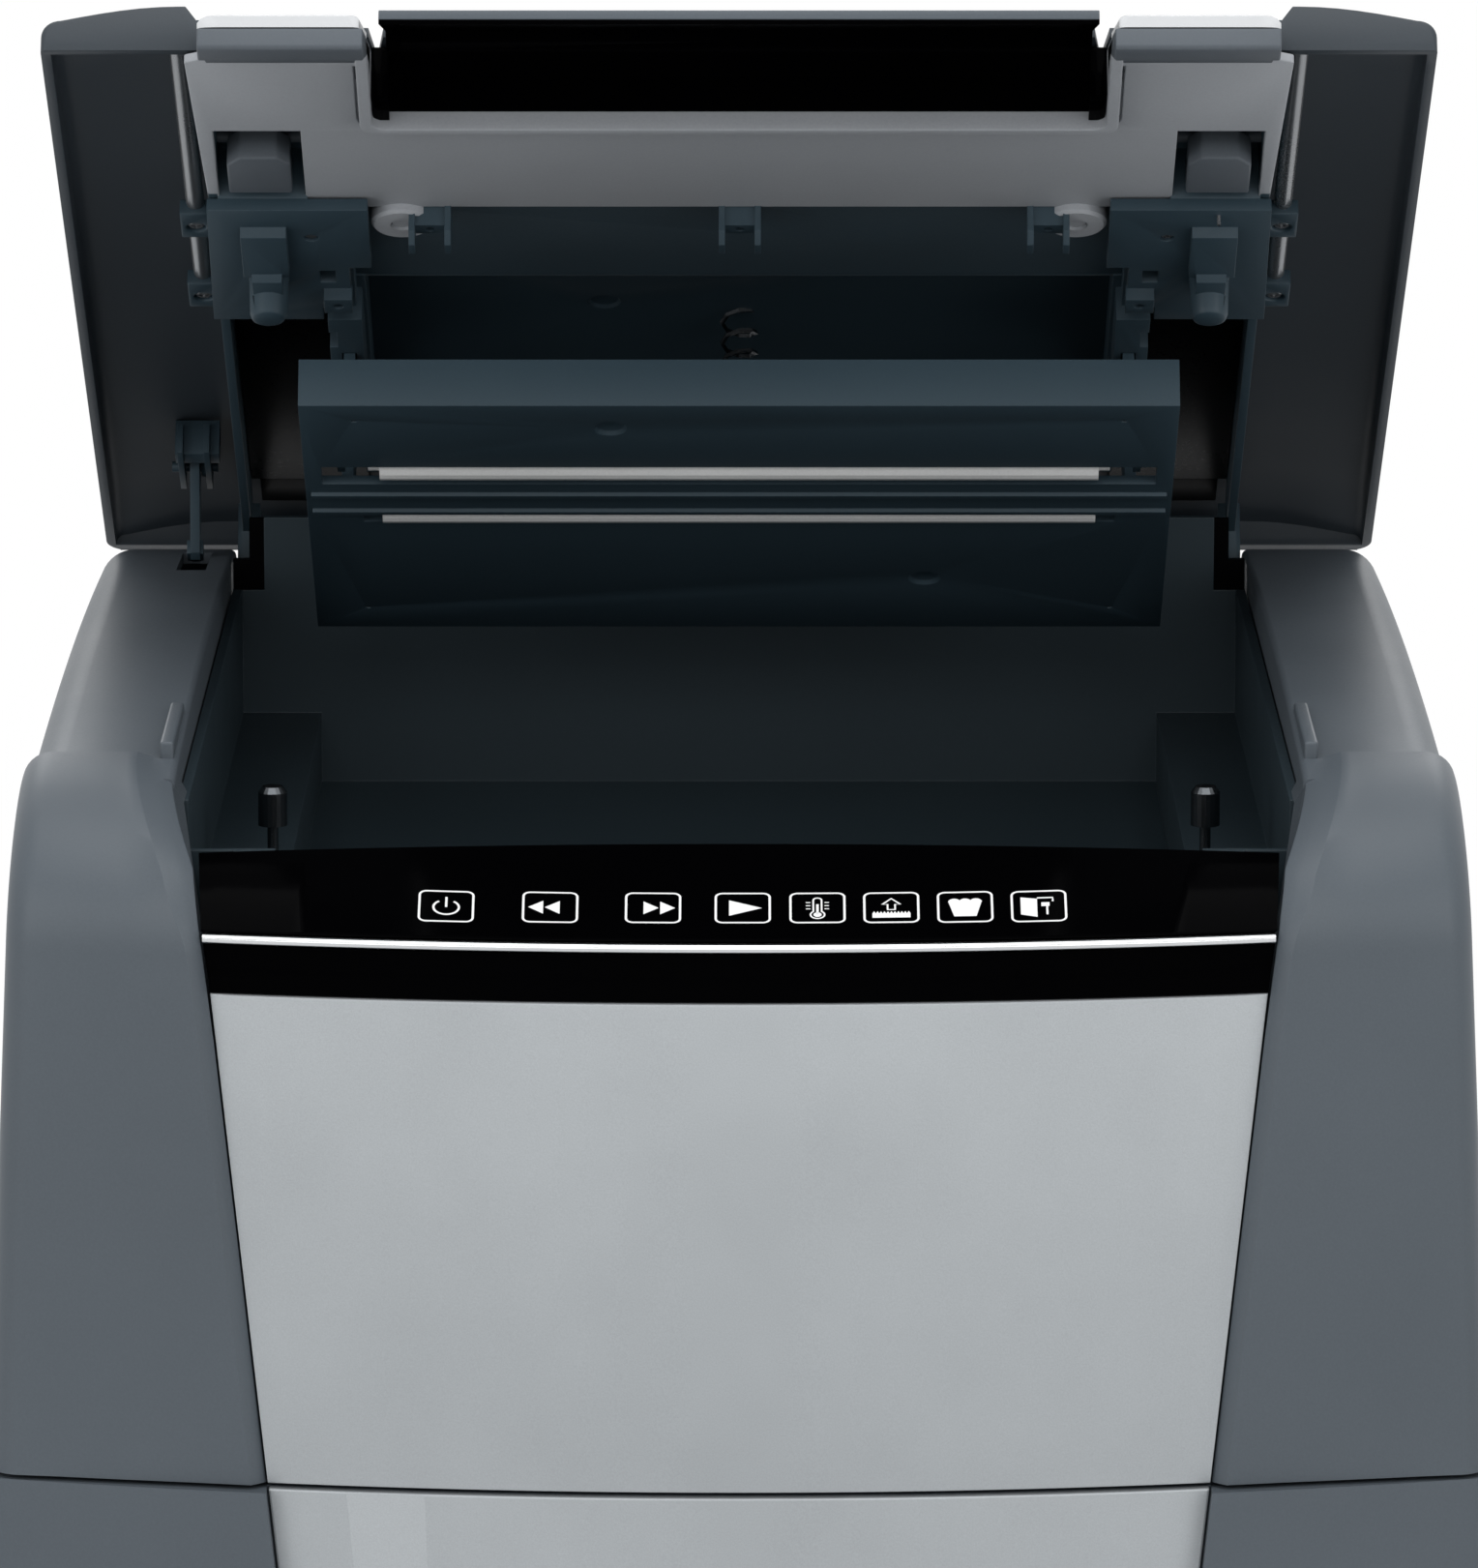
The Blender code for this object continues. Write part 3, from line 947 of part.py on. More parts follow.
def make_lid(looks):
    lid = pivot("lid_hinge", HINGE_Y, HINGE_Z)
    shell = make_lid_shell(looks)
    frame = make_inner_frame(looks)
    trim_back = LID_LIP_Y + TRIM_LENGTH - 0.6
    step_y = LID_FRONT_Y + 13.3
    tongue_top = lid_top(step_y) - SKIN - 0.4
    tongue_low = tongue_top - WALL
    bend_y = step_y - 6.0
    window_outline = [(LID_LIP_Y - 0.8, slope_z(LID_LIP_Y - 0.8)), (step_y, slope_z(step_y)),
                      (step_y, tongue_top), (WINDOW_BACK_Y - 0.7, tongue_top), (WINDOW_BACK_Y - 0.7, tongue_low),
                      (bend_y, min(tongue_low, slope_z(bend_y, WALL))),
                      (LID_LIP_Y - 0.8, slope_z(LID_LIP_Y - 0.8, WALL))]
    window = prism("lid_window", "X", window_outline, -WINDOW_HALF, WINDOW_HALF, looks["black"])
    trims = []
    for side, label in ((-1, "left"), (1, "right")):
        trims.append(prism("lid_trim_" + label, "X", slope_outline(LID_LIP_Y, trim_back, 0.0, TRIM_THICK),
                           *mirrored(side, WINDOW_HALF + 4.6, TRIM_HALF), looks["silver"]))
    arm_outline = [(138.0, 558.0), (150.4, 540.2), (155.5, 541.0), (145.5, 558.0), (150.0, 568.5), (130.0, 570.0)]
    arm = prism("interlock_arm", "X", arm_outline, -149.6, -146.6, looks["inner"])
    carry(lid, shell, frame, window, *trims, arm)
    for side in (-1, 1):
        make_latch(side, lid, looks)
    make_press_plate(lid, looks)
    for side, label in ((-1, "left"), (1, "right")):
        rod("hinge_pin_" + label, "X", (HINGE_Y, HINGE_Z), 3.0, *mirrored(side, 129.5, CHEEK_IN + WALL + 2),
            looks["steel"])
    lid.rotation_euler.x = -LID_OPEN


def main():
    for old in list(bpy.data.objects):
        bpy.data.objects.remove(old)
    looks = make_looks()
    for side in (-1, 1):
        make_housing(side, looks)
        make_lock_post(side, looks)
    make_rear_cover(looks)
    make_mains(looks)
    make_paper_tray(looks)
    make_front(looks)
    make_head_base(looks)
    make_mechanism(looks)
    make_cabinet(looks)
    make_bin(looks)
    for place, x, y in (("front_left", -CASTOR_X, CASTOR_FRONT_Y), ("front_right", CASTOR_X, CASTOR_FRONT_Y),
                        ("rear_left", -CASTOR_X, CASTOR_REAR_Y), ("rear_right", CASTOR_X, CASTOR_REAR_Y)):
        make_castor(place, x, y, looks)
    make_lid(looks)


main()
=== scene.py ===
"""The looks of the auto-feed paper shredder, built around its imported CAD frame.

Sizes are in millimetres, written as the CAD has them; meshes are in metres.
The lid's pieces are modelled closed, and turned open about its hinge.
"""
import json
import math

import bmesh
import bpy
from mathutils import Matrix, Vector


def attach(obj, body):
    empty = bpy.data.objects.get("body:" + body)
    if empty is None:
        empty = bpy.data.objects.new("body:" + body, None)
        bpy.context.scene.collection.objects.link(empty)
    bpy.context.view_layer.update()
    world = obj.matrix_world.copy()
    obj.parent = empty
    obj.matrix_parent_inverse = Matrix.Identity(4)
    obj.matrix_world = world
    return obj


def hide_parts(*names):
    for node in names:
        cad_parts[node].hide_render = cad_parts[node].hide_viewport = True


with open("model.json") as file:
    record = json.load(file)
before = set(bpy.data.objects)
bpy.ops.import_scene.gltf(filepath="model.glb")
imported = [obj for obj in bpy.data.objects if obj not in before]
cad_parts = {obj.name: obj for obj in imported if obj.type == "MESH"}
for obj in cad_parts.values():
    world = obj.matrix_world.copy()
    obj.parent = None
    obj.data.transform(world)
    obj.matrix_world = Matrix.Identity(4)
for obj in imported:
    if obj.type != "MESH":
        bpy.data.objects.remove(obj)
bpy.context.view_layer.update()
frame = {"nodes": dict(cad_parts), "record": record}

MM = 0.001

# ---------------------------------------------------------------- sizes shared with the CAD
GAP = 0.3
WALL = 3.0
SKIN = 2.5
BASE_HALF = 183.5
TOP_HALF = 176.0
CHEEK_STEP = 1.5
REAR_Y = 195.0
FRONT_Y = -198.5
FRONT_RADIUS = 700.0
COLUMN_PROUD = 4.5
SEAM_Z = 387.0
HEAD_Z = 387.6
DOOR_TOP_Z = 509.0
BAND_TOP_Z = 521.2
PANEL_FRONT_Z = 524.5
PANEL_TOP_Y = -158.0
PANEL_TOP_Z = 538.0
PANEL_CROWN = 2.2
STRIP_PROUD = 2.1
COLUMN_CREASE_Z = 519.0
COLUMN_TOP_Y = -123.0
COLUMN_TOP_Z = 556.0
COLUMN_BACK_Y = -137.0
EDGE_SEAM = 115.0
EDGE_SLOPE = 0.1066
EDGE_PANEL = 132.0
EDGE_TOP = 141.0
CHEEK_IN = 138.0
CHEEK_FRONT_Z = 554.0
CHEEK_RISE = 4.0
HINGE_Y = 178.0
HINGE_Z = 528.0
LID_OPEN = math.radians(34.0)
LID_HALF = 174.5
LID_RIM_Z = 559.3
LID_FRONT_Y = -119.5
LID_REAR_Y = 188.5
LID_TOP_Z = 576.0
LID_CROWN = 4.0
LID_FLAT_HALF = 140.0
LID_LIP_Y = -157.5
TRIM_HALF = 133.4
WINDOW_HALF = 89.0
WINDOW_BACK_Y = -86.3
U_PLATE_Z = 556.0
U_PLATE_BACK_Y = -36.3
PRESS_HALF = 112.4
PRESS_FRONT_Y = -36.0
PRESS_BACK_Y = 105.0
PRESS_Z = 500.0
PRESS_DEEP = 13.0
ROLLER_YS = (7.0, 34.0)

# ---------------------------------------------------------------- sizes of the lid's details
RECESS_HALF = WINDOW_HALF + 3.6
WINDOW_RIM = 3.1
LIP_BACK_Y = LID_FRONT_Y + 13.0
LATCH_OPEN_X = (111.0, 133.2)
LATCH_OPEN_Y = (-80.2, -30.0)
LINER_Z = 560.0
CEILING_Z = 571.5
EAR_X = 140.4
PIN_HOLE_R = 3.3
SIDES = ((-1, "left"), (1, "right"))


def edge_half(z):
    """Half width between the columns at height z."""
    panel_low = EDGE_SEAM + EDGE_SLOPE * (DOOR_TOP_Z - SEAM_Z)
    if z <= DOOR_TOP_Z:
        return EDGE_SEAM + EDGE_SLOPE * (z - SEAM_Z)
    if z <= PANEL_TOP_Z:
        share = (z - DOOR_TOP_Z) / (PANEL_TOP_Z - DOOR_TOP_Z)
        return panel_low + share * (EDGE_PANEL - panel_low)
    share = (z - PANEL_TOP_Z) / (COLUMN_TOP_Z - PANEL_TOP_Z)
    return EDGE_PANEL + share * (EDGE_TOP - EDGE_PANEL)


def side_half(z):
    """Half width of the body at height z."""
    share = max(0.0, (z - SEAM_Z) / (COLUMN_TOP_Z - SEAM_Z))
    return BASE_HALF + share * (TOP_HALF - BASE_HALF)


def front_y(x, behind=0.0):
    """The silver front's Y at a place across the machine."""
    return FRONT_Y + x * x / (2 * FRONT_RADIUS) + behind


def cheek_top(y):
    share = (y - COLUMN_TOP_Y) / (HINGE_Y - COLUMN_TOP_Y)
    return CHEEK_FRONT_Z - 1.4 * share + 4 * CHEEK_RISE * share * (1 - share)


def lid_top(y):
    share = (y - LID_FRONT_Y) / (LID_REAR_Y - LID_FRONT_Y)
    return LID_TOP_Z - 4.5 * (1 - share) ** 6 - 1.0 * share - 8.5 * share ** 16


# ---------------------------------------------------------------- materials
def node_material(name):
    made = bpy.data.materials.new(name)
    made.use_nodes = True
    return made, made.node_tree, made.node_tree.nodes["Principled BSDF"]


def add_node(tree, kind, **values):
    node = tree.nodes.new(kind)
    for key, value in values.items():
        node.inputs[key].default_value = value
    return node


def noise(tree, place, scale, detail=3.0, roughness=0.55):
    made = add_node(tree, "ShaderNodeTexNoise", Scale=scale, Detail=detail, Roughness=roughness)
    tree.links.new(place.outputs["Object"], made.inputs["Vector"])
    return made


def ramp(tree, source, low, high, from_low=0.3, from_high=0.7):
    """Spread a noise between two values."""
    made = tree.nodes.new("ShaderNodeMapRange")
    made.inputs["From Min"].default_value = from_low
    made.inputs["From Max"].default_value = from_high
    made.inputs["To Min"].default_value = low
    made.inputs["To Max"].default_value = high
    tree.links.new(source, made.inputs["Value"])
    return made.outputs["Result"]


def tint(tree, source, dark, light):
    """Colour that wanders between two shades."""
    made = tree.nodes.new("ShaderNodeValToRGB")
    made.color_ramp.elements[0].position = 0.3
    made.color_ramp.elements[0].color = (*dark, 1)
    made.color_ramp.elements[1].position = 0.7
    made.color_ramp.elements[1].color = (*light, 1)
    tree.links.new(source, made.inputs["Fac"])
    return made.outputs["Color"]


def grained(name, colour, roughness, spread=0.06, grain=1600.0, bump=0.03, metallic=0.0, coat=0.0,
            specular=0.22, shade=0.07, stretch=None):
    """A moulded or painted surface: a slow drift of tone, a fine grain, and roughness that follows both."""
    made, tree, shader = node_material(name)
    place = tree.nodes.new("ShaderNodeTexCoord")
    slow = noise(tree, place, 14.0)
    fine = noise(tree, place, grain, 2.0)
    if stretch is not None:
        mapping = add_node(tree, "ShaderNodeMapping", Scale=stretch)
        tree.links.new(place.outputs["Object"], mapping.inputs["Vector"])
        tree.links.new(mapping.outputs["Vector"], fine.inputs["Vector"])
    both = add_node(tree, "ShaderNodeMix", Factor=0.5)
    tree.links.new(slow.outputs["Fac"], both.inputs["A"])
    tree.links.new(fine.outputs["Fac"], both.inputs["B"])
    dark = [c * (1 - shade) for c in colour]
    light = [min(1.0, c * (1 + shade)) for c in colour]
    tree.links.new(tint(tree, both.outputs["Result"], dark, light), shader.inputs["Base Color"])
    tree.links.new(ramp(tree, both.outputs["Result"], roughness - spread, roughness + spread),
                   shader.inputs["Roughness"])
    relief = add_node(tree, "ShaderNodeBump", Strength=bump * 10, Distance=0.00004)
    tree.links.new(fine.outputs["Fac"], relief.inputs["Height"])
    tree.links.new(relief.outputs["Normal"], shader.inputs["Normal"])
    shader.inputs["Metallic"].default_value = metallic
    shader.inputs["Coat Weight"].default_value = coat
    shader.inputs["Specular IOR Level"].default_value = specular
    return made


LOOKS = {
    "dark_plastic": grained("dark_plastic", (0.078, 0.092, 0.106), 0.42, bump=0.04),
    "inner_plastic": grained("inner_plastic", (0.028, 0.048, 0.062), 0.46, bump=0.04),
    "lid_plastic": grained("lid_plastic", (0.034, 0.042, 0.050), 0.44, bump=0.04),
    # The plate's grey is lightened above its own tone: painted light for the lid's underside, which gets
    # little lamp light.
    "plate_plastic": grained("plate_plastic", (0.32, 0.335, 0.355), 0.5, bump=0.05),
    # The same grey plastic as the plate, kept darker: painted shade for the lips and the latch paddles.
    "plate_plastic_shaded": grained("plate_plastic_shaded", (0.085, 0.098, 0.112), 0.5, bump=0.05),
    "silver_paint": grained("silver_paint", (0.36, 0.38, 0.393), 0.38, grain=2600.0, bump=0.05, metallic=0.25,
                            shade=0.10),
    "black_gloss": grained("black_gloss", (0.0006, 0.0006, 0.0008), 0.10, spread=0.03, grain=900.0, bump=0.0,
                           specular=0.006),
    # Near-black painted shade, for inner-plastic pieces that sit in the shade under the lid and by the hinge.
    "shade_black": grained("shade_black", (0.0012, 0.0012, 0.0015), 0.3, grain=900.0, bump=0.0, specular=0.02),
    "tray_plastic": grained("tray_plastic", (0.020, 0.031, 0.038), 0.46, bump=0.04),
    "gunmetal": grained("gunmetal", (0.12, 0.13, 0.14), 0.24, metallic=1.0, bump=0.01, shade=0.06),
    "chrome": grained("chrome", (0.62, 0.63, 0.64), 0.16, spread=0.04, bump=0.01, metallic=1.0, shade=0.03),
    "steel": grained("steel", (0.45, 0.45, 0.46), 0.30, grain=700.0, bump=0.06, metallic=1.0,
                     stretch=(0.05, 1.0, 1.0)),
    "white_plastic": grained("white_plastic", (0.72, 0.72, 0.71), 0.45),
    "rubber": grained("rubber", (0.020, 0.020, 0.021), 0.75, grain=900.0, bump=0.10, shade=0.2),
    "circuit_board": grained("circuit_board", (0.02, 0.10, 0.05), 0.4, grain=400.0, shade=0.25),
    "satin_metal": grained("satin_metal", (0.28, 0.29, 0.30), 0.30, metallic=0.9, bump=0.01, shade=0.04),
    "bright_silver": grained("bright_silver", (0.52, 0.53, 0.54), 0.35, grain=2600.0, bump=0.03, shade=0.03),
    "icon_white": grained("icon_white", (0.80, 0.80, 0.80), 0.5, bump=0.0, shade=0.02),
}


# ---------------------------------------------------------------- modelling helpers
def make_object(name, data, look, smooth_angle=30.0):
    bmesh.ops.recalc_face_normals(data, faces=data.faces)
    bmesh.ops.scale(data, vec=(MM, MM, MM), verts=data.verts)
    mesh = bpy.data.meshes.new(name)
    data.to_mesh(mesh)
    data.free()
    made = bpy.data.objects.new(name, mesh)
    bpy.context.scene.collection.objects.link(made)
    mesh.materials.append(LOOKS[look])
    mesh.shade_smooth()
    mesh.set_sharp_from_angle(angle=math.radians(smooth_angle))
    return made


def loft(name, rings, look="inner_plastic", smooth_angle=30.0):
    """A closed solid through rings of points, each ring with the same count."""
    data = bmesh.new()
    rows = [[data.verts.new(point) for point in ring] for ring in rings]
    count = len(rows[0])
    for low, high in zip(rows, rows[1:]):
        for i in range(count):
            j = (i + 1) % count
            data.faces.new((low[i], low[j], high[j], high[i]))
    data.faces.new(rows[0])
    data.faces.new(rows[-1])
    return make_object(name, data, look, smooth_angle)


def prism(name, axis, outline, low, high, look="inner_plastic"):
    first, second, along = {"X": (1, 2, 0), "Y": (0, 2, 1), "Z": (0, 1, 2)}[axis]
    rings = []
    for level in (low, high):
        ring = []
        for u, v in outline:
            point = [0.0, 0.0, 0.0]
            point[first], point[second], point[along] = u, v, level
            ring.append(point)
        rings.append(ring)
    return loft(name, rings, look)


def block(name, x, y, z, look="inner_plastic"):
    return prism(name, "Z", [(x[0], y[0]), (x[1], y[0]), (x[1], y[1]), (x[0], y[1])], z[0], z[1], look)


def circle(centre, radius, sides):
    return [(centre[0] + radius * math.cos(math.tau * i / sides),
             centre[1] + radius * math.sin(math.tau * i / sides)) for i in range(sides)]


def rod(name, axis, centre, radius, low, high, look="inner_plastic", sides=40):
    return prism(name, axis, circle(centre, radius, sides), low, high, look)


def turned(name, axis, centre, steps, look="inner_plastic", sides=40):
    """A round piece about a line along the axis, through (place along it, radius) steps."""
    first, second, along = {"X": (1, 2, 0), "Y": (0, 2, 1), "Z": (0, 1, 2)}[axis]
    rings = []
    for level, radius in steps:
        ring = []
        for u, v in circle(centre, radius, sides):
            point = [0.0, 0.0, 0.0]
            point[first], point[second], point[along] = u, v, level
            ring.append(point)
        rings.append(ring)
    return loft(name, rings, look)


def mirrored(side, low, high):
    return (low, high) if side > 0 else (-high, -low)


def combine(target, added=(), removed=(), round_edges=0.0, smooth_angle=30.0, segments=3):
    """Join and cut with Booleans, then round the sharp edges, and keep one plain mesh."""
    for tools, operation in ((added, "UNION"), (removed, "DIFFERENCE")):
        for tool in tools:
            step = target.modifiers.new(operation, "BOOLEAN")
            step.operation = operation
            step.object = tool
            step.solver = "EXACT"
    if round_edges > 0:
        bevel = target.modifiers.new("edges", "BEVEL")
        bevel.width = round_edges * MM
        bevel.segments = segments
        bevel.limit_method = "ANGLE"
        bevel.angle_limit = math.radians(35)
        bevel.harden_normals = False
    bpy.context.view_layer.update()
    graph = bpy.context.evaluated_depsgraph_get()
    mesh = bpy.data.meshes.new_from_object(target.evaluated_get(graph))
    target.modifiers.clear()
    target.data = mesh
    mesh.shade_smooth()
    mesh.set_sharp_from_angle(angle=math.radians(smooth_angle))
    for tool in (*added, *removed):
        bpy.data.objects.remove(tool)
    return target


LID_TURN = (Matrix.Translation((0, HINGE_Y * MM, HINGE_Z * MM)) @ Matrix.Rotation(-LID_OPEN, 4, "X")
            @ Matrix.Translation((0, -HINGE_Y * MM, -HINGE_Z * MM)))


def fit(piece, body, slot, *replaced, lid=False):
    """Turn a lid piece open, and give a piece its body and the CAD nodes it stands for; the slot is not used.
    """
    if lid:
        piece.data.transform(LID_TURN)
    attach(piece, body)
    if replaced:
        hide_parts(*replaced)
    return piece


def dress(node, look, edges=0.0, angle=30.0):
    """Keep a CAD node, with a finished material and fine edges."""
    piece = frame["nodes"][node]
    piece.data.materials.clear()
    piece.data.materials.append(LOOKS[look])
    if edges > 0:
        weld = piece.modifiers.new("weld", "WELD")
        weld.merge_threshold = 0.00001
        flat = piece.modifiers.new("flat", "DECIMATE")
        flat.decimate_type = "DISSOLVE"
        flat.angle_limit = math.radians(1.0)
        bevel = piece.modifiers.new("edges", "BEVEL")
        bevel.width = edges * MM
        bevel.segments = 2
        bevel.limit_method = "ANGLE"
        bevel.angle_limit = math.radians(angle)


# ---------------------------------------------------------------- housings
def arc_steps(radius, count):
    """(in from the side, in from the face) along a quarter round."""
    angles = [math.pi / 2 * i / count for i in range(count + 1)]
    return [(radius * (1 - math.sin(angle)), radius * (1 - math.cos(angle))) for angle in angles]


def column_ring(side, x_of, mid_x, inset):
    front = front_y(mid_x) - COLUMN_PROUD + inset
    top = COLUMN_TOP_Z - inset
    points = [(front, HEAD_Z)]
    for i in range(1, 7):
        points.append((front, HEAD_Z + (COLUMN_CREASE_Z - HEAD_Z) * i / 6))
    for i in range(1, 25):
        angle = math.pi / 2 * i / 24
        points.append((COLUMN_TOP_Y - (COLUMN_TOP_Y - front) * math.cos(angle),
                       COLUMN_CREASE_Z + (top - COLUMN_CREASE_Z) * math.sin(angle)))
    points += [(COLUMN_TOP_Y, CHEEK_FRONT_Z - 8), (COLUMN_BACK_Y, CHEEK_FRONT_Z - 8), (COLUMN_BACK_Y, HEAD_Z)]
    return [(side * x_of(z), y, z) for y, z in points]


def chamfer_wide(z):
    """The column's inner chamfer is narrow beside the silver front and broad beside the panel."""
    if z <= COLUMN_CREASE_Z:
        return 3.6
    share = min(1.0, (z - COLUMN_CREASE_Z) / 20.0)
    return 3.6 + 3.6 * share * share * (3 - 2 * share)


def make_flange(side):
    """The raised edge that carries the column's flank back along the cheek, and stops with a step."""
    flange = block("flange", mirrored(side, 139.2, 142.6), (-122.0, -70.0), (548.0, 558.2), "dark_plastic")
    combine(flange, [], [], 0.7)
    fit(flange, "root", "dark_plastic")


def make_housing(side):
    name = "right_housing" if side > 0 else "left_housing"
    rings = []
    for share, inset in ((0.0, 3.4), (0.06, 2.9), (0.5, 1.4), (0.94, 0.12), (1.0, 0.0)):
        rings.append(column_ring(side, lambda z, s=share: edge_half(z) + s * chamfer_wide(z),
                                 EDGE_PANEL, inset))
    for share in (0.26, 0.38, 0.5, 0.62, 0.74):
        rings.append(column_ring(side, lambda z, s=share: edge_half(z) + s * (side_half(z) - edge_half(z)),
                                 EDGE_PANEL + share * (BASE_HALF - EDGE_PANEL), 0.0))
    for inward, inset in arc_steps(7.0, 8):
        rings.append(column_ring(side, lambda z, d=inward: side_half(z) - d, BASE_HALF - inward, inset))
    column = loft(name + "_visual", rings, "dark_plastic")

    def cheek_points(inset):
        front = COLUMN_BACK_Y - WALL
        points = [(front, HEAD_Z), (front, CHEEK_FRONT_Z - 1.5 - inset)]
        for i in range(33):
            y = COLUMN_TOP_Y + (HINGE_Y - COLUMN_TOP_Y) * i / 32
            points.append((y, cheek_top(y) - inset))
        for i in range(1, 9):
            angle = math.pi / 2 * i / 8
            points.append((HINGE_Y + (REAR_Y - HINGE_Y - inset) * math.sin(angle),
                           540.0 + (cheek_top(HINGE_Y) - inset - 540.0) * math.cos(angle)))
        points += [(REAR_Y - inset, HEAD_Z)]
        return points

    rings = []
    for inward, inset in reversed(arc_steps(1.6, 4)):
        rings.append([(side * (CHEEK_IN + inward), y, z) for y, z in cheek_points(inset)])
    for inward, inset in arc_steps(9.0, 10):
        rings.append([(side * (side_half(z) - CHEEK_STEP - inward), y, z) for y, z in cheek_points(inset)])
    cheek = loft("cheek", rings, "dark_plastic")

    def hollow_points():
        front = COLUMN_BACK_Y - WALL
        points = [(front, HEAD_Z - 5), (front, CHEEK_FRONT_Z - 1.5 - WALL)]
        for i in range(9):
            y = COLUMN_TOP_Y + (HINGE_Y - COLUMN_TOP_Y) * i / 8
            points.append((y, cheek_top(y) - WALL))
        return points + [(REAR_Y - 8, 544.0), (REAR_Y + 2, 537.0), (REAR_Y + 2, HEAD_Z - 5)]

    hollow = loft("hollow", [[(side * (CHEEK_IN + WALL), y, z) for y, z in hollow_points()],
                             [(side * (side_half(z) - CHEEK_STEP - WALL), y, z) for y, z in hollow_points()]])
    rings = []
    for share in (0, 0.25, 0.5, 0.75, 1):
        mid_x = EDGE_PANEL + share * (BASE_HALF - EDGE_PANEL)
        front = front_y(mid_x) - COLUMN_PROUD + WALL + 0.6
        top = COLUMN_CREASE_Z - 4
        ring = []
        for y, z in ((front, HEAD_Z - 5), (front, top), (COLUMN_BACK_Y - WALL, top),
                     (COLUMN_BACK_Y - WALL, HEAD_Z - 5)):
            low = edge_half(z) + WALL
            high = side_half(z) - WALL - 1.5
            ring.append((side * (low + share * (high - low)), y, z))
        rings.append(ring)
    column_hollow = loft("column_hollow", rings)
    opening = block("opening", mirrored(side, CHEEK_IN - 1, CHEEK_IN + WALL + 1),
                    (COLUMN_BACK_Y + 0.5, REAR_Y + 2), (HEAD_Z - 5, 480.0))
    pin = rod("pin_hole", "X", (HINGE_Y, HINGE_Z), PIN_HOLE_R,
              *mirrored(side, CHEEK_IN - 1, CHEEK_IN + WALL + 1))
    removed = [hollow, column_hollow, opening, pin]
    if side < 0:
        removed.append(block("slot", (-152.0, -144.0), (136.0, 173.0), (540.0, 562.0)))
    combine(column, [cheek], removed)
    fit(column, "root", "dark_plastic", name)
    make_flange(side)


# ---------------------------------------------------------------- front
def across(name, low_z, high_z, front, back, half_low, half_high, look, body, slot, node, ease=0.6):
    """A plate that follows the front's curve, with its front edges eased."""
    steps = 48
    rings = []
    for i in range(steps + 1):
        share = -1 + 2 * i / steps
        ring = []
        rows = [(low_z, ease), (low_z + ease * 0.3, ease * 0.3), (low_z + ease, 0.0), (high_z - ease, 0.0),
                (high_z - ease * 0.3, ease * 0.3), (high_z, ease)]
        for z, sink in rows:
            half = half_low + (half_high - half_low) * (z - low_z) / (high_z - low_z)
            x = share * half
            at_end = ease if abs(share) == 1 else 0.0
            ring.append((x, front_y(x, front) + max(sink, at_end), z))
        for z in (high_z, low_z):
            half = half_low + (half_high - half_low) * (z - low_z) / (high_z - low_z)
            x = share * half
            ring.append((x, front_y(x, back), z))
        rings.append(ring)
    return fit(loft(name, rings, look), body, slot, node)


def make_front():
    gap = 0.5
    low = HEAD_Z + 0.1
    across("front_panel_visual", low, DOOR_TOP_Z, 0.0, WALL, edge_half(low) - gap,
           edge_half(DOOR_TOP_Z) - gap, "silver_paint", "root", "silver_paint", "upper_front_panel")
    band_low = DOOR_TOP_Z + GAP
    across("trim_band_visual", band_low, BAND_TOP_Z, 0.4, 3.4, edge_half(band_low) - gap,
           edge_half(BAND_TOP_Z) - gap, "black_gloss", "root", "black_gloss", "lower_trim_band", ease=0.4)
    strip_low = BAND_TOP_Z + GAP
    strip_high = PANEL_FRONT_Z - 0.4
    rings = []
    steps = 60
    for i in range(steps + 1):
        x = (-1 + 2 * i / steps) * (edge_half(strip_low) - gap)
        ring = [(x, front_y(x, WALL), strip_low), (x, front_y(x, WALL), strip_high)]
        for j in range(13):
            angle = math.pi * j / 12
            ring.append((x, front_y(x, -STRIP_PROUD * math.sin(angle)),
                         (strip_low + strip_high) / 2 + (strip_high - strip_low) / 2 * math.cos(angle)))
        rings.append(ring)
    fit(loft("chrome_strip_visual", rings, "chrome"), "root", "chrome", "chrome_strip")

    rings = []
    steps = 60
    for i in range(steps + 1):
        share = -1 + 2 * i / steps
        x_back = share * (EDGE_PANEL - gap - 0.1)
        x_front = share * (edge_half(PANEL_FRONT_Z) - gap)
        back_z = PANEL_TOP_Z + PANEL_CROWN * (1 - share * share)
        front = front_y(x_front)
        rings.append([(x_front, front + 0.2, PANEL_FRONT_Z - 0.1), (x_front, front, PANEL_FRONT_Z + 0.2),
                      (x_front, front + 0.3, PANEL_FRONT_Z + 0.6), (x_back, PANEL_TOP_Y - 0.7, back_z - 0.25),
                      (x_back, PANEL_TOP_Y - 0.25, back_z - 0.1), (x_back, PANEL_TOP_Y, back_z - 0.5),
                      (x_back, PANEL_TOP_Y, back_z - WALL - 0.5),
                      (x_front, front + WALL, PANEL_FRONT_Z - 0.1)])
    fit(loft("control_panel_visual", rings, "black_gloss"), "root", "black_gloss", "control_panel")


# ---------------------------------------------------------------- touch icons
def panel_point(x, up, lift):
    """A point on the touch panel: x across, up the slope from its front edge, lift above it."""
    share = x / (EDGE_PANEL - 0.6)
    back = Vector((x, PANEL_TOP_Y - 0.7, PANEL_TOP_Z + PANEL_CROWN * (1 - share * share) - 0.25))
    front = Vector((x, front_y(x) + 0.3, PANEL_FRONT_Z + 0.6))
    along = (back - front).normalized()
    normal = Vector((0, -along.z, along.y))
    return front + along * up + normal * lift


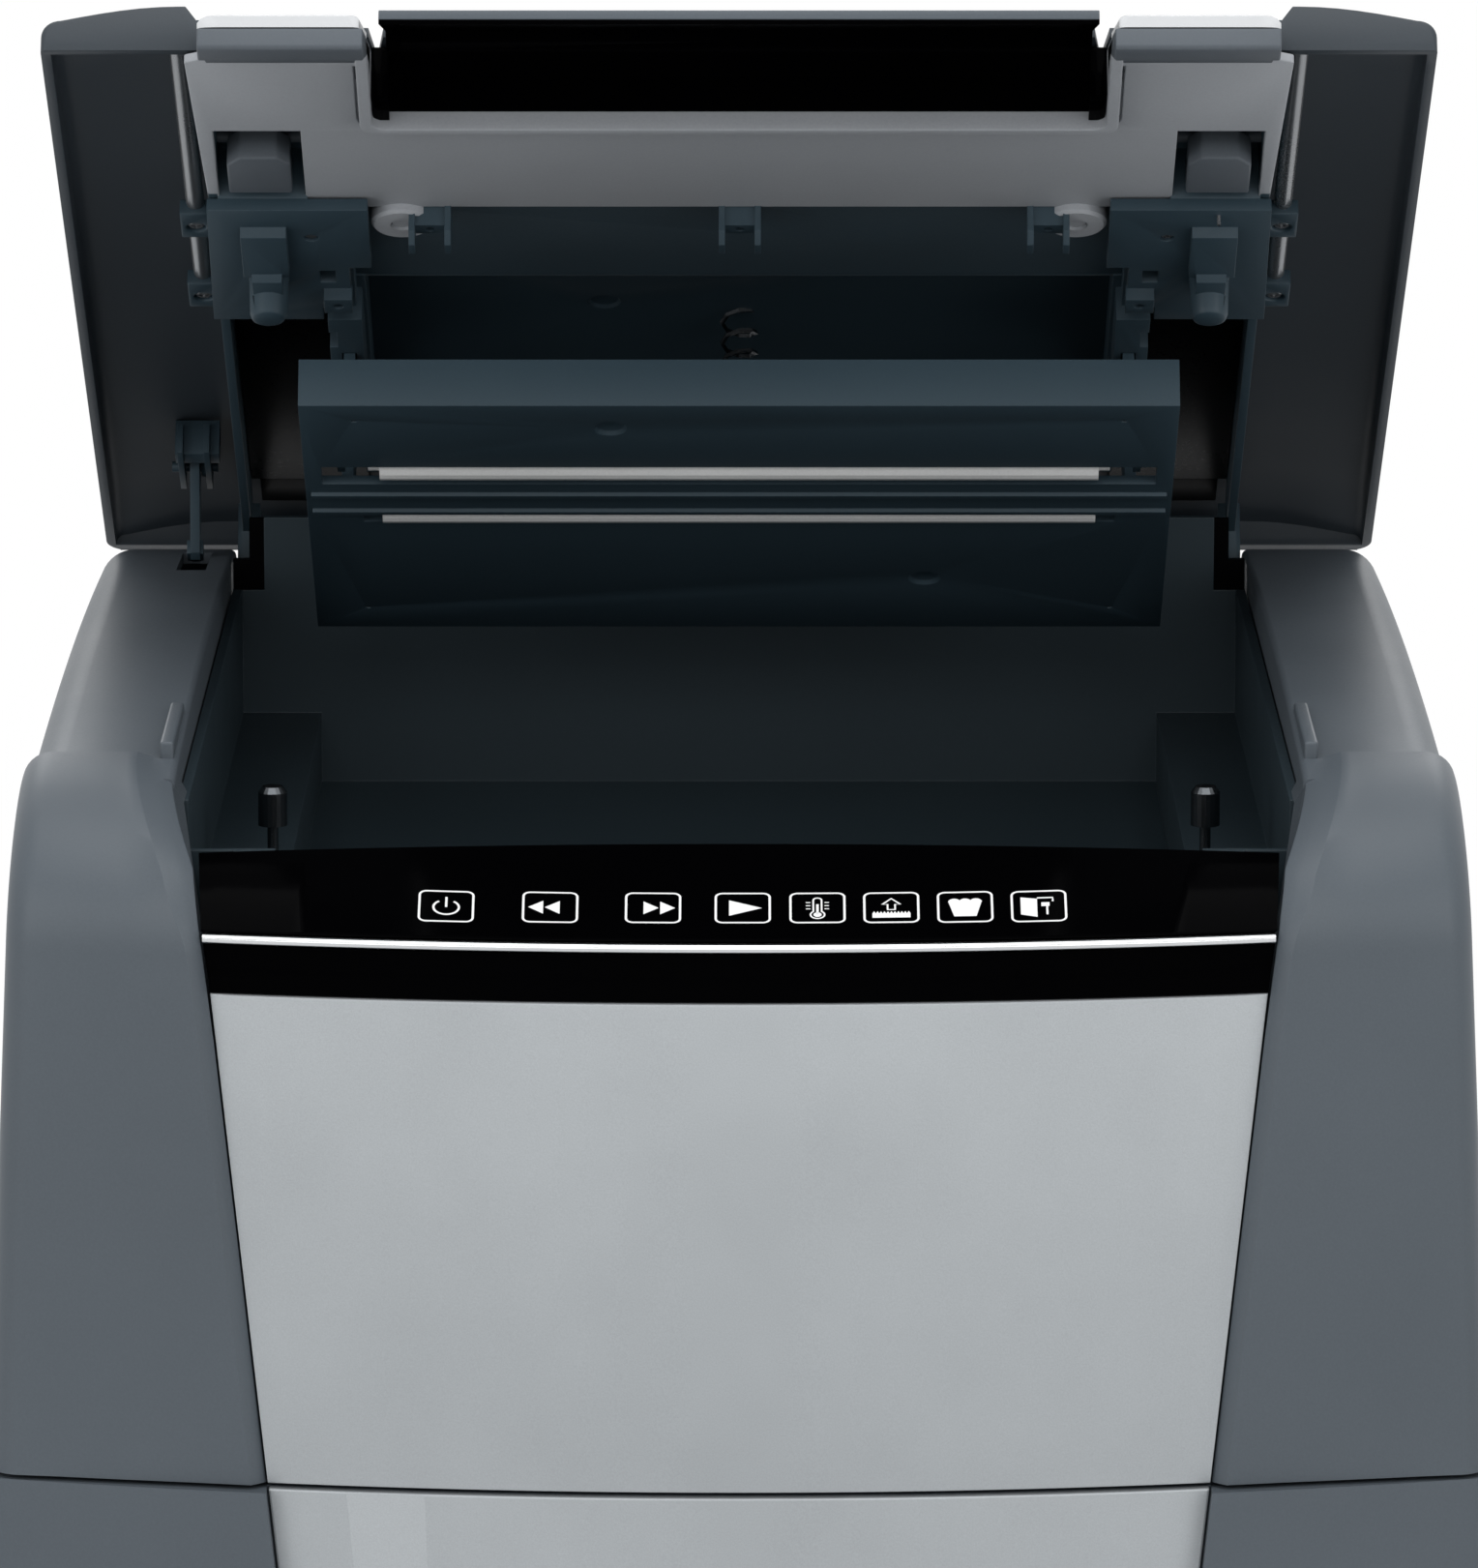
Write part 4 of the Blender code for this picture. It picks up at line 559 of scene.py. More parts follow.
def stroke(data, points, width, closed=False):
    """A flat line of the given width through points (across, up)."""
    count = len(points)
    left, right = [], []
    for i, (u, v) in enumerate(points):
        before = points[(i - 1) % count] if closed or i > 0 else points[i]
        after = points[(i + 1) % count] if closed or i < count - 1 else points[i]
        run = Vector((after[0] - before[0], after[1] - before[1])).normalized()
        left.append((u - run.y * width / 2, v + run.x * width / 2))
        right.append((u + run.y * width / 2, v - run.x * width / 2))
    last = count if closed else count - 1
    for i in range(last):
        j = (i + 1) % count
        data.append([left[i], left[j], right[j], right[i]])


def rounded_box(half_u, half_v, radius, corner=6):
    points = []
    for cu, cv, start in ((1, 1, 0.0), (-1, 1, 0.25), (-1, -1, 0.5), (1, -1, 0.75)):
        for i in range(corner + 1):
            angle = math.tau * (start + 0.25 * i / corner)
            points.append((cu * (half_u - radius) + radius * math.cos(angle),
                           cv * (half_v - radius) + radius * math.sin(angle)))
    return points


def arc(centre, radius, start, end, steps=20):
    return [(centre[0] + radius * math.cos(math.radians(start + (end - start) * i / steps)),
             centre[1] + radius * math.sin(math.radians(start + (end - start) * i / steps)))
            for i in range(steps + 1)]


def icon_shapes(kind):
    """The flat shapes of one touch symbol, in millimetres about its middle."""
    shapes = []
    line = 0.55
    if kind == "power":
        stroke(shapes, arc((0, -0.4), 3.1, 125, 415), line)
        stroke(shapes, [(0, -0.3), (0, 4.0)], line)
    elif kind in ("reverse", "forward"):
        turn = -1 if kind == "reverse" else 1
        for shift in (-2.3, 1.7):
            shapes.append([(turn * shift, -2.8), (turn * (shift + 3.6), 0), (turn * shift, 2.8)])
    elif kind == "auto":
        shapes.append([(-3.3, -3.4), (4.6, 0), (-3.3, 3.4)])
    elif kind == "hot":
        stroke(shapes, arc((0, 3.4), 1.0, 0, 180) + arc((0, -3.0), 1.7, 126, 414), 0.4, closed=True)
        stroke(shapes, [(0, -3.0), (0, 1.6)], 0.6)
        shapes.append(arc((0, -3.0), 1.0, 0, 345, 16))
        for step in range(3):
            stroke(shapes, [(1.7, 2.4 - step * 1.4), (2.8, 2.4 - step * 1.4)], 0.3)
            stroke(shapes, [(-2.8, 2.4 - step * 1.4), (-1.7, 2.4 - step * 1.4)], 0.3)
    elif kind == "full_load":
        arrow = [(-0.9, -0.9), (-0.9, 1.4), (-2.2, 1.4), (0, 4.0), (2.2, 1.4), (0.9, 1.4), (0.9, -0.9)]
        stroke(shapes, arrow, 0.5, closed=True)
        teeth = 11
        for i in range(teeth):
            low = -4.6 + 9.2 * i / teeth
            shapes.append([(low, -2.6), (low + 9.2 / teeth, -2.6), (low + 4.6 / teeth, -1.6)])
        shapes.append([(-4.6, -4.4), (4.6, -4.4), (4.6, -2.6), (-4.6, -2.6)])
    elif kind == "bin_full":
        shapes.append([(-2.7, -4.0), (2.7, -4.0), (4.0, 2.2), (-4.0, 2.2)])
        for shift in (-2.6, 0.0, 2.6):
            shapes.append(arc((shift, 2.2), 1.5, 0, 180, 10))
    elif kind == "door_open":
        shapes.append([(-4.4, -3.4), (-0.4, -4.6), (-0.4, 3.2), (-4.4, 4.0)])
        stroke(shapes, [(-0.4, 3.6), (3.4, 3.6), (3.4, 2.0)], 0.5)
        shapes.append([(0.6, 1.6), (2.6, 1.6), (2.6, 0.0), (0.6, 0.0)])
        stroke(shapes, [(2.0, 0.6), (2.0, -3.6)], 0.5)
    return shapes


def make_icons():
    kinds = ("power", "reverse", "forward", "auto", "hot", "full_load", "bin_full", "door_open")
    places = (-70.6, -45.5, -20.7, 0.9, 18.9, 36.7, 54.5, 72.3)
    for kind, x in zip(kinds, places):
        data = bmesh.new()
        shapes = icon_shapes(kind)
        frame_line = []
        stroke(frame_line, rounded_box(6.5, 6.5, 1.7), 0.55, closed=True)
        middle = 10.6 + 3.0 * (1 - (x / 130.0) ** 2)
        for shape in shapes + frame_line:
            low = [data.verts.new(panel_point(x + u, middle + v, 0.01)) for u, v in shape]
            high = [data.verts.new(panel_point(x + u, middle + v, 0.09)) for u, v in shape]
            count = len(shape)
            data.faces.new(high)
            data.faces.new(list(reversed(low)))
            for i in range(count):
                j = (i + 1) % count
                data.faces.new((low[i], low[j], high[j], high[i]))
        fit(make_object("icon_" + kind, data, "icon_white"), "root", "white_plastic")


# ---------------------------------------------------------------- lid
def lid_ring(y, half, low, drop, corner, inset=0.0):
    """The closed lid's section at y: a flat middle that falls away to rounded sides."""
    top = lid_top(y) - drop - inset
    half = half - inset
    edge = top - LID_CROWN * max(0.0, min(1.0, (top - low - 5.0) / 8.0))
    radius = min(corner, edge - low - 0.5)
    right = [(half, low)]
    for i in range(9):
        angle = math.pi / 2 * i / 8
        right.append((half - radius + radius * math.cos(angle), edge - radius + radius * math.sin(angle)))
    for i in range(1, 7):
        share = i / 6
        x = half - radius - share * (half - radius - LID_FLAT_HALF)
        right.append((x, edge + LID_CROWN * math.sin(share * math.pi / 2)))
    right.append((60.0, top))
    return [(x, y, z) for x, z in right] + [(-x, y, z) for x, z in reversed(right)]


def make_lid_shell():
    """The lid's outside, hollow below, cut back in front for the trims and slit beside the window."""
    corner = 4.5
    front_ease = 1.4
    rear_ease = 6.0
    rings = []
    for inward, inset in reversed(arc_steps(front_ease, 4)):
        rings.append(lid_ring(LID_FRONT_Y + inward, LID_HALF, LID_RIM_Z, 0.0, corner, inset))
    count = 40
    for i in range(1, count):
        y = LID_FRONT_Y + front_ease + (LID_REAR_Y - LID_FRONT_Y - front_ease - rear_ease) * i / count
        rings.append(lid_ring(y, LID_HALF, LID_RIM_Z, 0.0, corner))
    for inward, inset in arc_steps(rear_ease, 8):
        rings.append(lid_ring(LID_REAR_Y - inward, LID_HALF, LID_RIM_Z, 0.0, corner, min(inset, 3.6)))
    shell = loft("lid_shell_visual", rings, "lid_plastic")
    rings = []
    for i in range(13):
        y = LID_FRONT_Y + SKIN + (LID_REAR_Y - LID_FRONT_Y - 2 * SKIN - 1.2) * i / 12
        rings.append(lid_ring(y, LID_HALF - SKIN, LID_RIM_Z - 5, SKIN, 3.0))
    hollow = loft("hollow", rings, "lid_plastic")
    half = TRIM_HALF + 0.4
    wide = half + 5.5
    notch = [(-half, LID_RIM_Z - 10), (half, LID_RIM_Z - 10), (half, 565.0), (wide, 572.6), (wide, 580.0),
             (-wide, 580.0), (-wide, 572.6), (-half, 565.0)]
    front_cut = prism("front_cut", "Y", notch, LID_FRONT_Y - 5, LID_FRONT_Y + 14, "lid_plastic")
    slits = []
    for side in (-1, 1):
        slit = [(side * 89.2, LID_FRONT_Y + 12), (side * 93.4, LID_FRONT_Y + 12), (side * 91.6, -90.0),
                (side * 91.2, -90.0)]
        slits.append(prism("slit", "Z", slit, 560.0, 585.0, "lid_plastic"))
    combine(shell, [], [hollow, front_cut, *slits], 0.35, segments=2)
    fit(shell, "lid", "dark_plastic", "lid_shell", lid=True)


def rounded_u(half, back, front, radius, steps=8):
    """Plan of a U open to the front, from its right end round to its left end."""
    points = [(half, front)]
    for i in range(steps + 1):
        angle = math.pi / 2 * i / steps
        points.append((half - radius + radius * math.cos(angle), back - radius + radius * math.sin(angle)))
    return points + [(-x, y) for x, y in reversed(points)]


def u_strip(name, inside, outside, front, low, high):
    """A standing strip between two U plans, each given as (half, back, corner radius)."""
    plan = rounded_u(outside[0], outside[1], front, outside[2])
    plan += reversed(rounded_u(inside[0], inside[1], front, inside[2]))
    return prism(name, "Z", plan, low, high, "plate_plastic")


def lid_sides(x, y, z, name, look="inner_plastic"):
    """The same block on both sides of the lid."""
    return [block(name, mirrored(side, *x), y, z, look) for side in (-1, 1)]


def make_lips():
    """The thick grey lips in front of the plate, under the silver trims, in the plate's plastic darkened as
    painted shade.
    """
    z = U_PLATE_Z
    outline = [(LID_LIP_Y, 541.6), (LID_LIP_Y + 0.8, 540.8), (-150.0, 541.2), (-128.0, z - 2.6),
               (-124.0, z - 0.6), (-119.0, z), (-117.0, z + 1.5), (LIP_BACK_Y, z + 1.5), (LIP_BACK_Y, 567.0),
               (LID_LIP_Y, 546.3)]
    for side, label in SIDES:
        lip = prism("lip_" + label, "X", outline, *mirrored(side, RECESS_HALF, TRIM_HALF), "plate_plastic_shaded")
        combine(lip, round_edges=0.45)
        fit(lip, "lid", "plate_plastic", lid=True)


def make_inner_plate():
    """The flat grey plate, the rim round the window recess and the two latch openings."""
    z = U_PLATE_Z
    front_half = 138.6
    back_half = 135.9
    plan = [(front_half, -119.0), (back_half, U_PLATE_BACK_Y), (-back_half, U_PLATE_BACK_Y),
            (-front_half, -119.0), (-134.0, -121.0), (134.0, -121.0)]
    plate = prism("inner_plate", "Z", plan, z, z + 2.5, "plate_plastic")
    edge = (RECESS_HALF, WINDOW_BACK_Y, 3.6)
    rim_edge = (RECESS_HALF + WINDOW_RIM, WINDOW_BACK_Y + WINDOW_RIM, 5.0)
    groove_edge = (RECESS_HALF + 3.9, WINDOW_BACK_Y + 3.9, 5.4)
    rim = u_strip("rim", edge, rim_edge, -152.0, z - 2.6, z + 12.0)
    recess = prism("recess", "Z", rounded_u(edge[0], edge[1], -170.0, edge[2]), 530.0, 590.0)
    groove = u_strip("groove", rim_edge, groove_edge, -117.0, z - 4.0, z + 1.6)
    outline = [(-175.0, 538.4), (-100.0, 569.2), (-100.0, 600.0), (-175.0, 600.0)]
    under_trim = prism("under_trim", "X", outline, -120, 120)
    openings = lid_sides(LATCH_OPEN_X, LATCH_OPEN_Y, (530.0, 580.0), "latch_opening")
    combine(rim, removed=[under_trim])
    combine(plate, [rim], [recess, groove, *openings], 0.45)
    fit(plate, "lid", "plate_plastic", "lid_inner_frame", lid=True)


def make_side_walls():
    """The dark walls beside the hinge side, each with the arm that turns on its hinge pin."""
    z = U_PLATE_Z
    back_y = 173.0
    top_z = 570.0
    knuckle = 8.5
    for side in (-1, 1):
        outline = [(-115.0, z + 2.6), (-80.0, z + 2.6), (U_PLATE_BACK_Y + 6, z - 1.0), (back_y, z - 1.0),
                   (back_y, 562.0), (151.0, top_z), (-115.0, top_z)]
        wall = prism("side_wall", "X", outline, *mirrored(side, 133.6, 136.0))
        outline = [(HINGE_Y - 13, 563.0), (HINGE_Y - knuckle, HINGE_Z - 3)]
        for i in range(9):
            angle = math.pi * (1 + i / 8) + 0.15
            outline.append((HINGE_Y + knuckle * math.cos(angle), HINGE_Z + knuckle * math.sin(angle)))
        outline.append((HINGE_Y - 3.0, 563.0))
        arm = prism("hinge_arm", "X", outline, *mirrored(side, 131.5, 137.4))
        bore = rod("bore", "X", (HINGE_Y, HINGE_Z), PIN_HOLE_R, *mirrored(side, 130.0, 139.0))
        combine(wall, [arm], [bore], 0.4)
        fit(wall, "lid", "inner_plastic", lid=True)


def make_liner():
    """The dark liner behind the plate, its fins, and the roof of the recess over the press plate."""
    front_y = U_PLATE_BACK_Y - 2.5
    wide = (-133.0, 133.0)
    liner = block("lid_liner", wide, (front_y, 13.2), (LINER_Z, LINER_Z + 2.2))
    added = [block("liner_wall", wide, (front_y, U_PLATE_BACK_Y), (U_PLATE_Z + 1.0, 571.0)),
             block("step_wall", wide, (11.0, 13.2), (LINER_Z, CEILING_Z)),
             block("rear_wall", (-100.5, 100.5), (118.0, 120.5), (557.0, 572.0))]
    for side in (-1, 1):
        added.append(block("duct_wall", mirrored(side, 97.7, 100.5), (12.0, 119.0), (559.5, CEILING_Z)))
        added.append(block("screw_rail", mirrored(side, 100.0, 134.0), (23.0, 26.0), (557.0, 571.0)))
    removed = []
    outline = [(-37.0, 562.0), (-37.0, 549.0), (-34.5, 546.0), (-29.5, 546.0), (-28.0, 548.5), (-28.0, 562.0)]
    for x in (-79.4, 0.2, 79.4):
        for shift in (-4.6, 4.6):
            added.append(prism("fin", "X", outline, x + shift - 0.8, x + shift + 0.8))
        added.append(block("fin_bridge", (x - 4.0, x + 4.0), (-36.0, -31.0), (551.0, 561.0)))
        removed.append(rod("fin_hole", "Z", (x, -33.4), 1.2, 540.0, 555.0, sides=16))
    removed += lid_sides(LATCH_OPEN_X, (-80.0, -30.0), (530.0, 559.8), "latch_gap")
    combine(liner, added, removed, 0.35)
    fit(liner, "lid", "inner_plastic", lid=True)

    roof = block("duct_plate", (-97.9, 97.9), (13.0, 118.5), (571.0, 572.3))
    dimple = turned("dimple", "Z", (-35.6, 52.5), [(570.9, 4.4), (571.9, 3.6), (572.1, 1.2)], sides=28)
    combine(roof, removed=[dimple], round_edges=0.2)
    fit(roof, "lid", "inner_plastic", lid=True)


def make_side_fittings():
    """On each side: covers painted near-black as shade, the latch's box and sill, a bumper, satin rods and
    two screwed ears.
    """
    z = U_PLATE_Z
    for side in (-1, 1):
        cover = block("side_cover", mirrored(side, 101.0, 133.4), (26.5, 152.5), (564.6, 565.8), "shade_black")
        rear = block("side_rear", mirrored(side, 101.0, 131.2), (152.2, 172.0), (566.8, 568.0), "shade_black")
        for piece in (cover, rear):
            combine(piece, round_edges=0.3)
            fit(piece, "lid", "inner_plastic", lid=True)
        box = block("latch_box", mirrored(side, 109.8, 134.2), (-81.4, -37.0), (559.0, 570.5))
        room = block("room", mirrored(side, *LATCH_OPEN_X), (LATCH_OPEN_Y[0], -35.0), (550.0, 569.0))
        combine(box, removed=[room])
        fit(box, "lid", "inner_plastic", lid=True)
        outline = [(-44.0, 569.5), (-44.0, z + 3.0), (-42.0, z - 2.0), (-36.0, z - 2.0), (-36.0, 569.5)]
        sill = prism("latch_sill", "X", outline, *mirrored(side, 110.6, 133.6))
        fit(sill, "lid", "inner_plastic", lid=True)
        steps = [(561.0, 7.9), (554.4, 7.9), (553.6, 7.1), (553.6, 3.0), (554.2, 2.4)]
        bumper = turned("bumper", "Z", (side * 86.7, -30.5), steps, "plate_plastic")
        fit(bumper, "lid", "plate_plastic", lid=True)
        for low, high in ((-117.0, -18.0), (-9.0, 22.0)):
            steps = [(low, 2.0), (low + 0.8, 2.4), (high, 2.4)]
            rail = turned("side_rod", "Y", (side * EAR_X, 563.6), steps, "satin_metal")
            fit(rail, "lid", "steel", lid=True)
        for y in (-24.0, 18.0):
            make_screwed_ear(side, y)


def make_screwed_ear(side, y):
    """An ear on the lid with its screw."""
    x = side * EAR_X
    screw_y = y + 8.0
    ear = block("ear", mirrored(side, EAR_X - 3.8, EAR_X + 4.0), (y, y + 14.0), (559.8, 564.2))
    well = rod("well", "Z", (x, screw_y), 2.5, 555.0, 561.4)
    combine(ear, removed=[well], round_edges=0.5)
    fit(ear, "lid", "inner_plastic", lid=True)
    steps = [(561.8, 2.2), (560.9, 2.2), (560.4, 1.7)]
    head = turned("ear_screw", "Z", (x, screw_y), steps, "satin_metal", 24)
    cross = [block("slot", (x - a, x + a), (screw_y - b, screw_y + b), (559.0, 560.9))
             for a, b in ((1.2, 0.28), (0.28, 1.2))]
    combine(head, removed=cross)
    fit(head, "lid", "steel", lid=True)


def make_window():
    """The black window and the grey edge along its front."""
    front = LID_LIP_Y - 0.8
    half = WINDOW_HALF - 0.3
    wide = WINDOW_HALF + 3.3
    top = 569.4
    step_y = LID_FRONT_Y + 13.3
    outline = [(front, 548.0), (front + 0.6, 547.3), (-112.0, top - 1.0), (-52.0, top - 1.0),
               (-52.0, top + 1.4), (step_y, top + 1.4), (step_y, 571.6), (front, 549.3)]
    window = prism("window", "X", outline, -half, half, "black_gloss")
    outline = [(-101.0, 556.0), (-86.6, 556.0), (-86.6, top), (-101.0, top)]
    cheeks = [prism("window_cheek", "X", outline, *mirrored(side, half - 0.5, wide)) for side in (-1, 1)]
    back = block("window_back", (-wide, wide), (-86.9, -84.0), (558.6, top))
    combine(window, [*cheeks, back], round_edges=0.3)
    fit(window, "lid", "black_gloss", "lid_window", lid=True)
    outline = [(front - 0.1, 548.2), (front - 0.3, 548.6), (front - 0.3, 550.6), (front + 0.3, 551.0),
               (front + 4.0, 552.6), (front + 4.0, 550.8)]
    edge = prism("window_edge", "X", outline, -half, half, "dark_plastic")
    combine(edge, round_edges=0.25)
    fit(edge, "lid", "dark_plastic", lid=True)


def make_trims():
    """The two silver trims, each eased down at its ends."""
    low, high = WINDOW_HALF + 4.6, TRIM_HALF
    eased = ((low, 1.4), (low + 0.4, 0.7), (low + 1.4, 0.15), (low + 2.6, 0.0), (high - 5.0, 0.0),
             (high - 2.4, 0.4), (high - 0.9, 1.3), (high, 2.8))
    for side, label in SIDES:
        rings = []
        for x, sink in eased:
            section = [(LID_LIP_Y + sink * 0.3, 546.6), (LID_LIP_Y + sink * 0.3, 549.6 - sink),
                       (LID_LIP_Y + 0.5, 550.2 - sink * 0.8), (LIP_BACK_Y, 571.4 - sink * 0.6),
                       (LIP_BACK_Y, 567.6)]
            rings.append([(side * x, y, z) for y, z in section])
        trim = loft("trim_" + label, rings, "bright_silver")
        fit(trim, "lid", "silver_paint", "lid_trim_" + label, lid=True)


def make_latch_housing(side, label):
    """The dark plate behind a latch, with its tab, boss, bracket and holes."""
    floor = 553.0
    plan = [(136.4, -42.6), (95.2, -42.6), (95.2, -8.3), (101.0, -8.3), (101.0, 16.0), (108.6, 16.0),
            (108.6, 23.0), (137.4, 23.0)]
    plate = prism("latch_plate", "Z", [(side * x, y) for x, y in plan], floor - 1.0, floor + 2.4)
    outline = [(-33.0, floor), (-32.4, 549.0), (-10.0, 548.4), (-8.0, floor)]
    steps = [(floor, 5.2), (542.0, 4.8), (540.6, 4.2), (540.0, 3.0)]
    screw = (side * 110.2, -26.0)
    added = [prism("tab", "X", outline, *mirrored(side, 116.4, 128.2)),
             turned("boss", "Z", (side * 122.0, -1.5), steps),
             block("web", mirrored(side, 118.2, 126.0), (-12.0, -1.5), (546.0, floor)),
             block("stem", mirrored(side, 100.0, 110.0), (-30.0, 20.0), (554.0, 571.0)),
             block("small_boss", mirrored(side, 100.6, 108.0), (4.0, 12.0), (548.6, floor)),
             block("bracket", mirrored(side, 98.6, 107.5), (19.0, 64.0), (550.0, 572.0))]
    removed = [rod("screw_hole", "Z", screw, 1.9, 545.0, 553.6, sides=24),
               block("square_hole", mirrored(side, 104.6, 108.8), (-6.5, 0.6), (545.0, 560.0)),
               rod("small_hole", "Z", (side * 104.3, 8.0), 1.3, 545.0, 551.0, sides=20),
               block("guide_slot", mirrored(side, 100.6, 104.4), (39.6, 60.4), (540.0, 569.0)),
               block("window_gap", mirrored(side, 105.4, 109.0), (27.0, 36.0), (540.0, 569.0))]
    combine(plate, added, removed, 0.45)
    fit(plate, "lid", "inner_plastic", "latch_housing_" + label, lid=True)
    head = turned("plate_screw", "Z", screw, [(554.0, 1.6), (552.9, 1.6), (552.6, 1.2)], "satin_metal", 20)
    fit(head, "lid", "steel", lid=True)


def make_latches():
    plan = [(114.3, -46.4), (114.3, -62.6), (117.6, -66.6), (127.1, -66.6), (130.4, -62.6), (130.4, -46.4)]
    for side, label in SIDES:
        make_latch_housing(side, label)
        # The paddle takes the darker painted-shade copy of the plate's plastic.
        paddle = prism("paddle", "Z", [(side * x, y) for x, y in plan], 555.0, 563.4, "plate_plastic_shaded")
        axle = rod("paddle_axle", "X", (-58.0, 565.6), 1.6, *mirrored(side, 107.2, 134.4), sides=20)
        combine(paddle, [axle], round_edges=0.6)
        fit(paddle, "latch_" + label, "plate_plastic", "latch_hook_" + label, lid=True)
    pin = rod("latch_pin", "Z", (123.0, -39.4), 0.5, 549.4, 559.5, "satin_metal", 12)
    fit(pin, "lid", "steel", lid=True)


def make_press_plate():
    """The plate that presses the stack, with its rollers' slots, rails and dimples."""
    low = PRESS_Z
    half = PRESS_HALF
    plate = block("plate", (-half, half), (PRESS_FRONT_Y, PRESS_BACK_Y), (low, low + PRESS_DEEP))
    hollow = block("hollow", (-half + SKIN, half - SKIN), (PRESS_FRONT_Y + SKIN, PRESS_BACK_Y - SKIN),
                   (low + SKIN, low + 20.0))
    combine(plate, removed=[hollow])
    removed = [block("slot_front", (-108.0, 108.0), (2.0, 12.6), (low - 5, low + 3.5)),
               block("slot_rear", (-98.0, 98.0), (32.8, 36.4), (low - 5, low + 3.5))]
    added = []
    for y in (17.4, 27.6):
        outline = [(y, low + 1), (y + 0.5, low - 1.0), (y + 2.2, low - 1.0), (y + 2.8, low + 1)]
        added.append(prism("rail", "X", outline, -111.0, 111.0))
    for y, reach in ((ROLLER_YS[0], 104.0), (ROLLER_YS[1], 97.0)):
        for side in (-1, 1):
            bearing_x, rib_x = mirrored(side, 93.6, 96.4), mirrored(side, reach - 2.0, reach)
            added.append(block("bearing", bearing_x, (y - 5.5, y + 5.5), (low + 0.5, low + 8.0)))
            added.append(block("rib", rib_x, (y - 5.6, y + 5.6), (low + 0.5, low + 5.0)))
        removed.append(rod("axle_bore", "X", (y, low + 3.0), 1.8, -98.0, 98.0, sides=20))
    added += lid_sides((101.0, 104.0), (40.0, 60.0), (low + 1, 556.0), "guide")
    corners = [(x, y, 0.8) for y in (-26.5, 92.0) for x in (-98.5, 98.5)]
    for x, y, r in [(-33.0, -22.0, 4.2), (49.0, 73.0, 4.2)] + corners:
        steps = [(low - 0.1, r * 1.05), (low + 1.0, r * 0.85), (low + 1.9, r * 0.3)]
        removed.append(turned("dimple", "Z", (x, y), steps, sides=28))
    combine(plate, added, removed, 0.4)
    fit(plate, "press_plate", "inner_plastic", "press_plate", lid=True)


def make_interlock():
    """The arm that works the lid switch, hung from its bracket on the left wing."""
    pivot = (143.0, 564.0)
    outline = [(139.0, 560.0), (149.0, 541.0), (151.0, 539.8), (155.0, 541.0), (146.5, 559.0), (149.0, 567.6),
               (131.0, 569.6)]
    arm = prism("arm", "X", outline, -149.4, -146.8)
    added = [block("foot", (-150.4, -146.0), (149.5, 154.5), (541.0, 545.0)),
             block("bracket", (-153.0, -141.0), (128.0, 134.0), (561.0, 571.0))]
    for x in (-152.4, -145.2):
        added.append(block("ear", (x, x + 1.6), (126.0, 150.0), (560.5, 569.0)))
    added.append(rod("pin", "X", pivot, 1.5, -154.5, -142.0, sides=20))
    added.append(turned("coil", "X", pivot, [(-146.4, 2.6), (-145.6, 3.0), (-145.4, 3.0)], sides=20))
    combine(arm, added, round_edges=0.3)
    fit(arm, "lid", "inner_plastic", "interlock_arm", lid=True)


# ---------------------------------------------------------------- carried-over CAD pieces
def dress_nodes():
    """Every CAD node gets its material, and those that stay in sight get rounded edges."""
    slots = {row["node"]: row["material_slot"] for row in frame["record"]["subparts"]}
    special = {"lock_post_left": "gunmetal", "lock_post_right": "gunmetal", "press_spring": "gunmetal",
               "paper_tray": "tray_plastic"}
    fine = {"paper_tray": 0.5, "rear_cover": 0.4, "base_cabinet": 2.5, "bin_fascia": 1.2, "bin_front": 0.5,
            "bin_grip": 0.4, "bin": 0.8, "power_inlet": 0.4, "switch_rocker": 0.4}
    for node, slot in slots.items():
        dress(node, special.get(node, slot), fine.get(node, 0.0))


def make_tray_ends():
    """The tray's back wall carried on to the sides, low enough for the lid's hinge arms, painted near-black
    as the shade under the lid.
    """
    for side in (-1, 1):
        outline = [(128.4, 490.0), (137.4, 490.0), (137.4, 554.4), (133.0, 554.4), (133.0, 565.6),
                   (128.4, 565.6)]
        end = prism("tray_end", "Y", [(side * x, z) for x, z in outline], 154.2, 156.8, "shade_black")
        fit(end, "root", "inner_plastic")


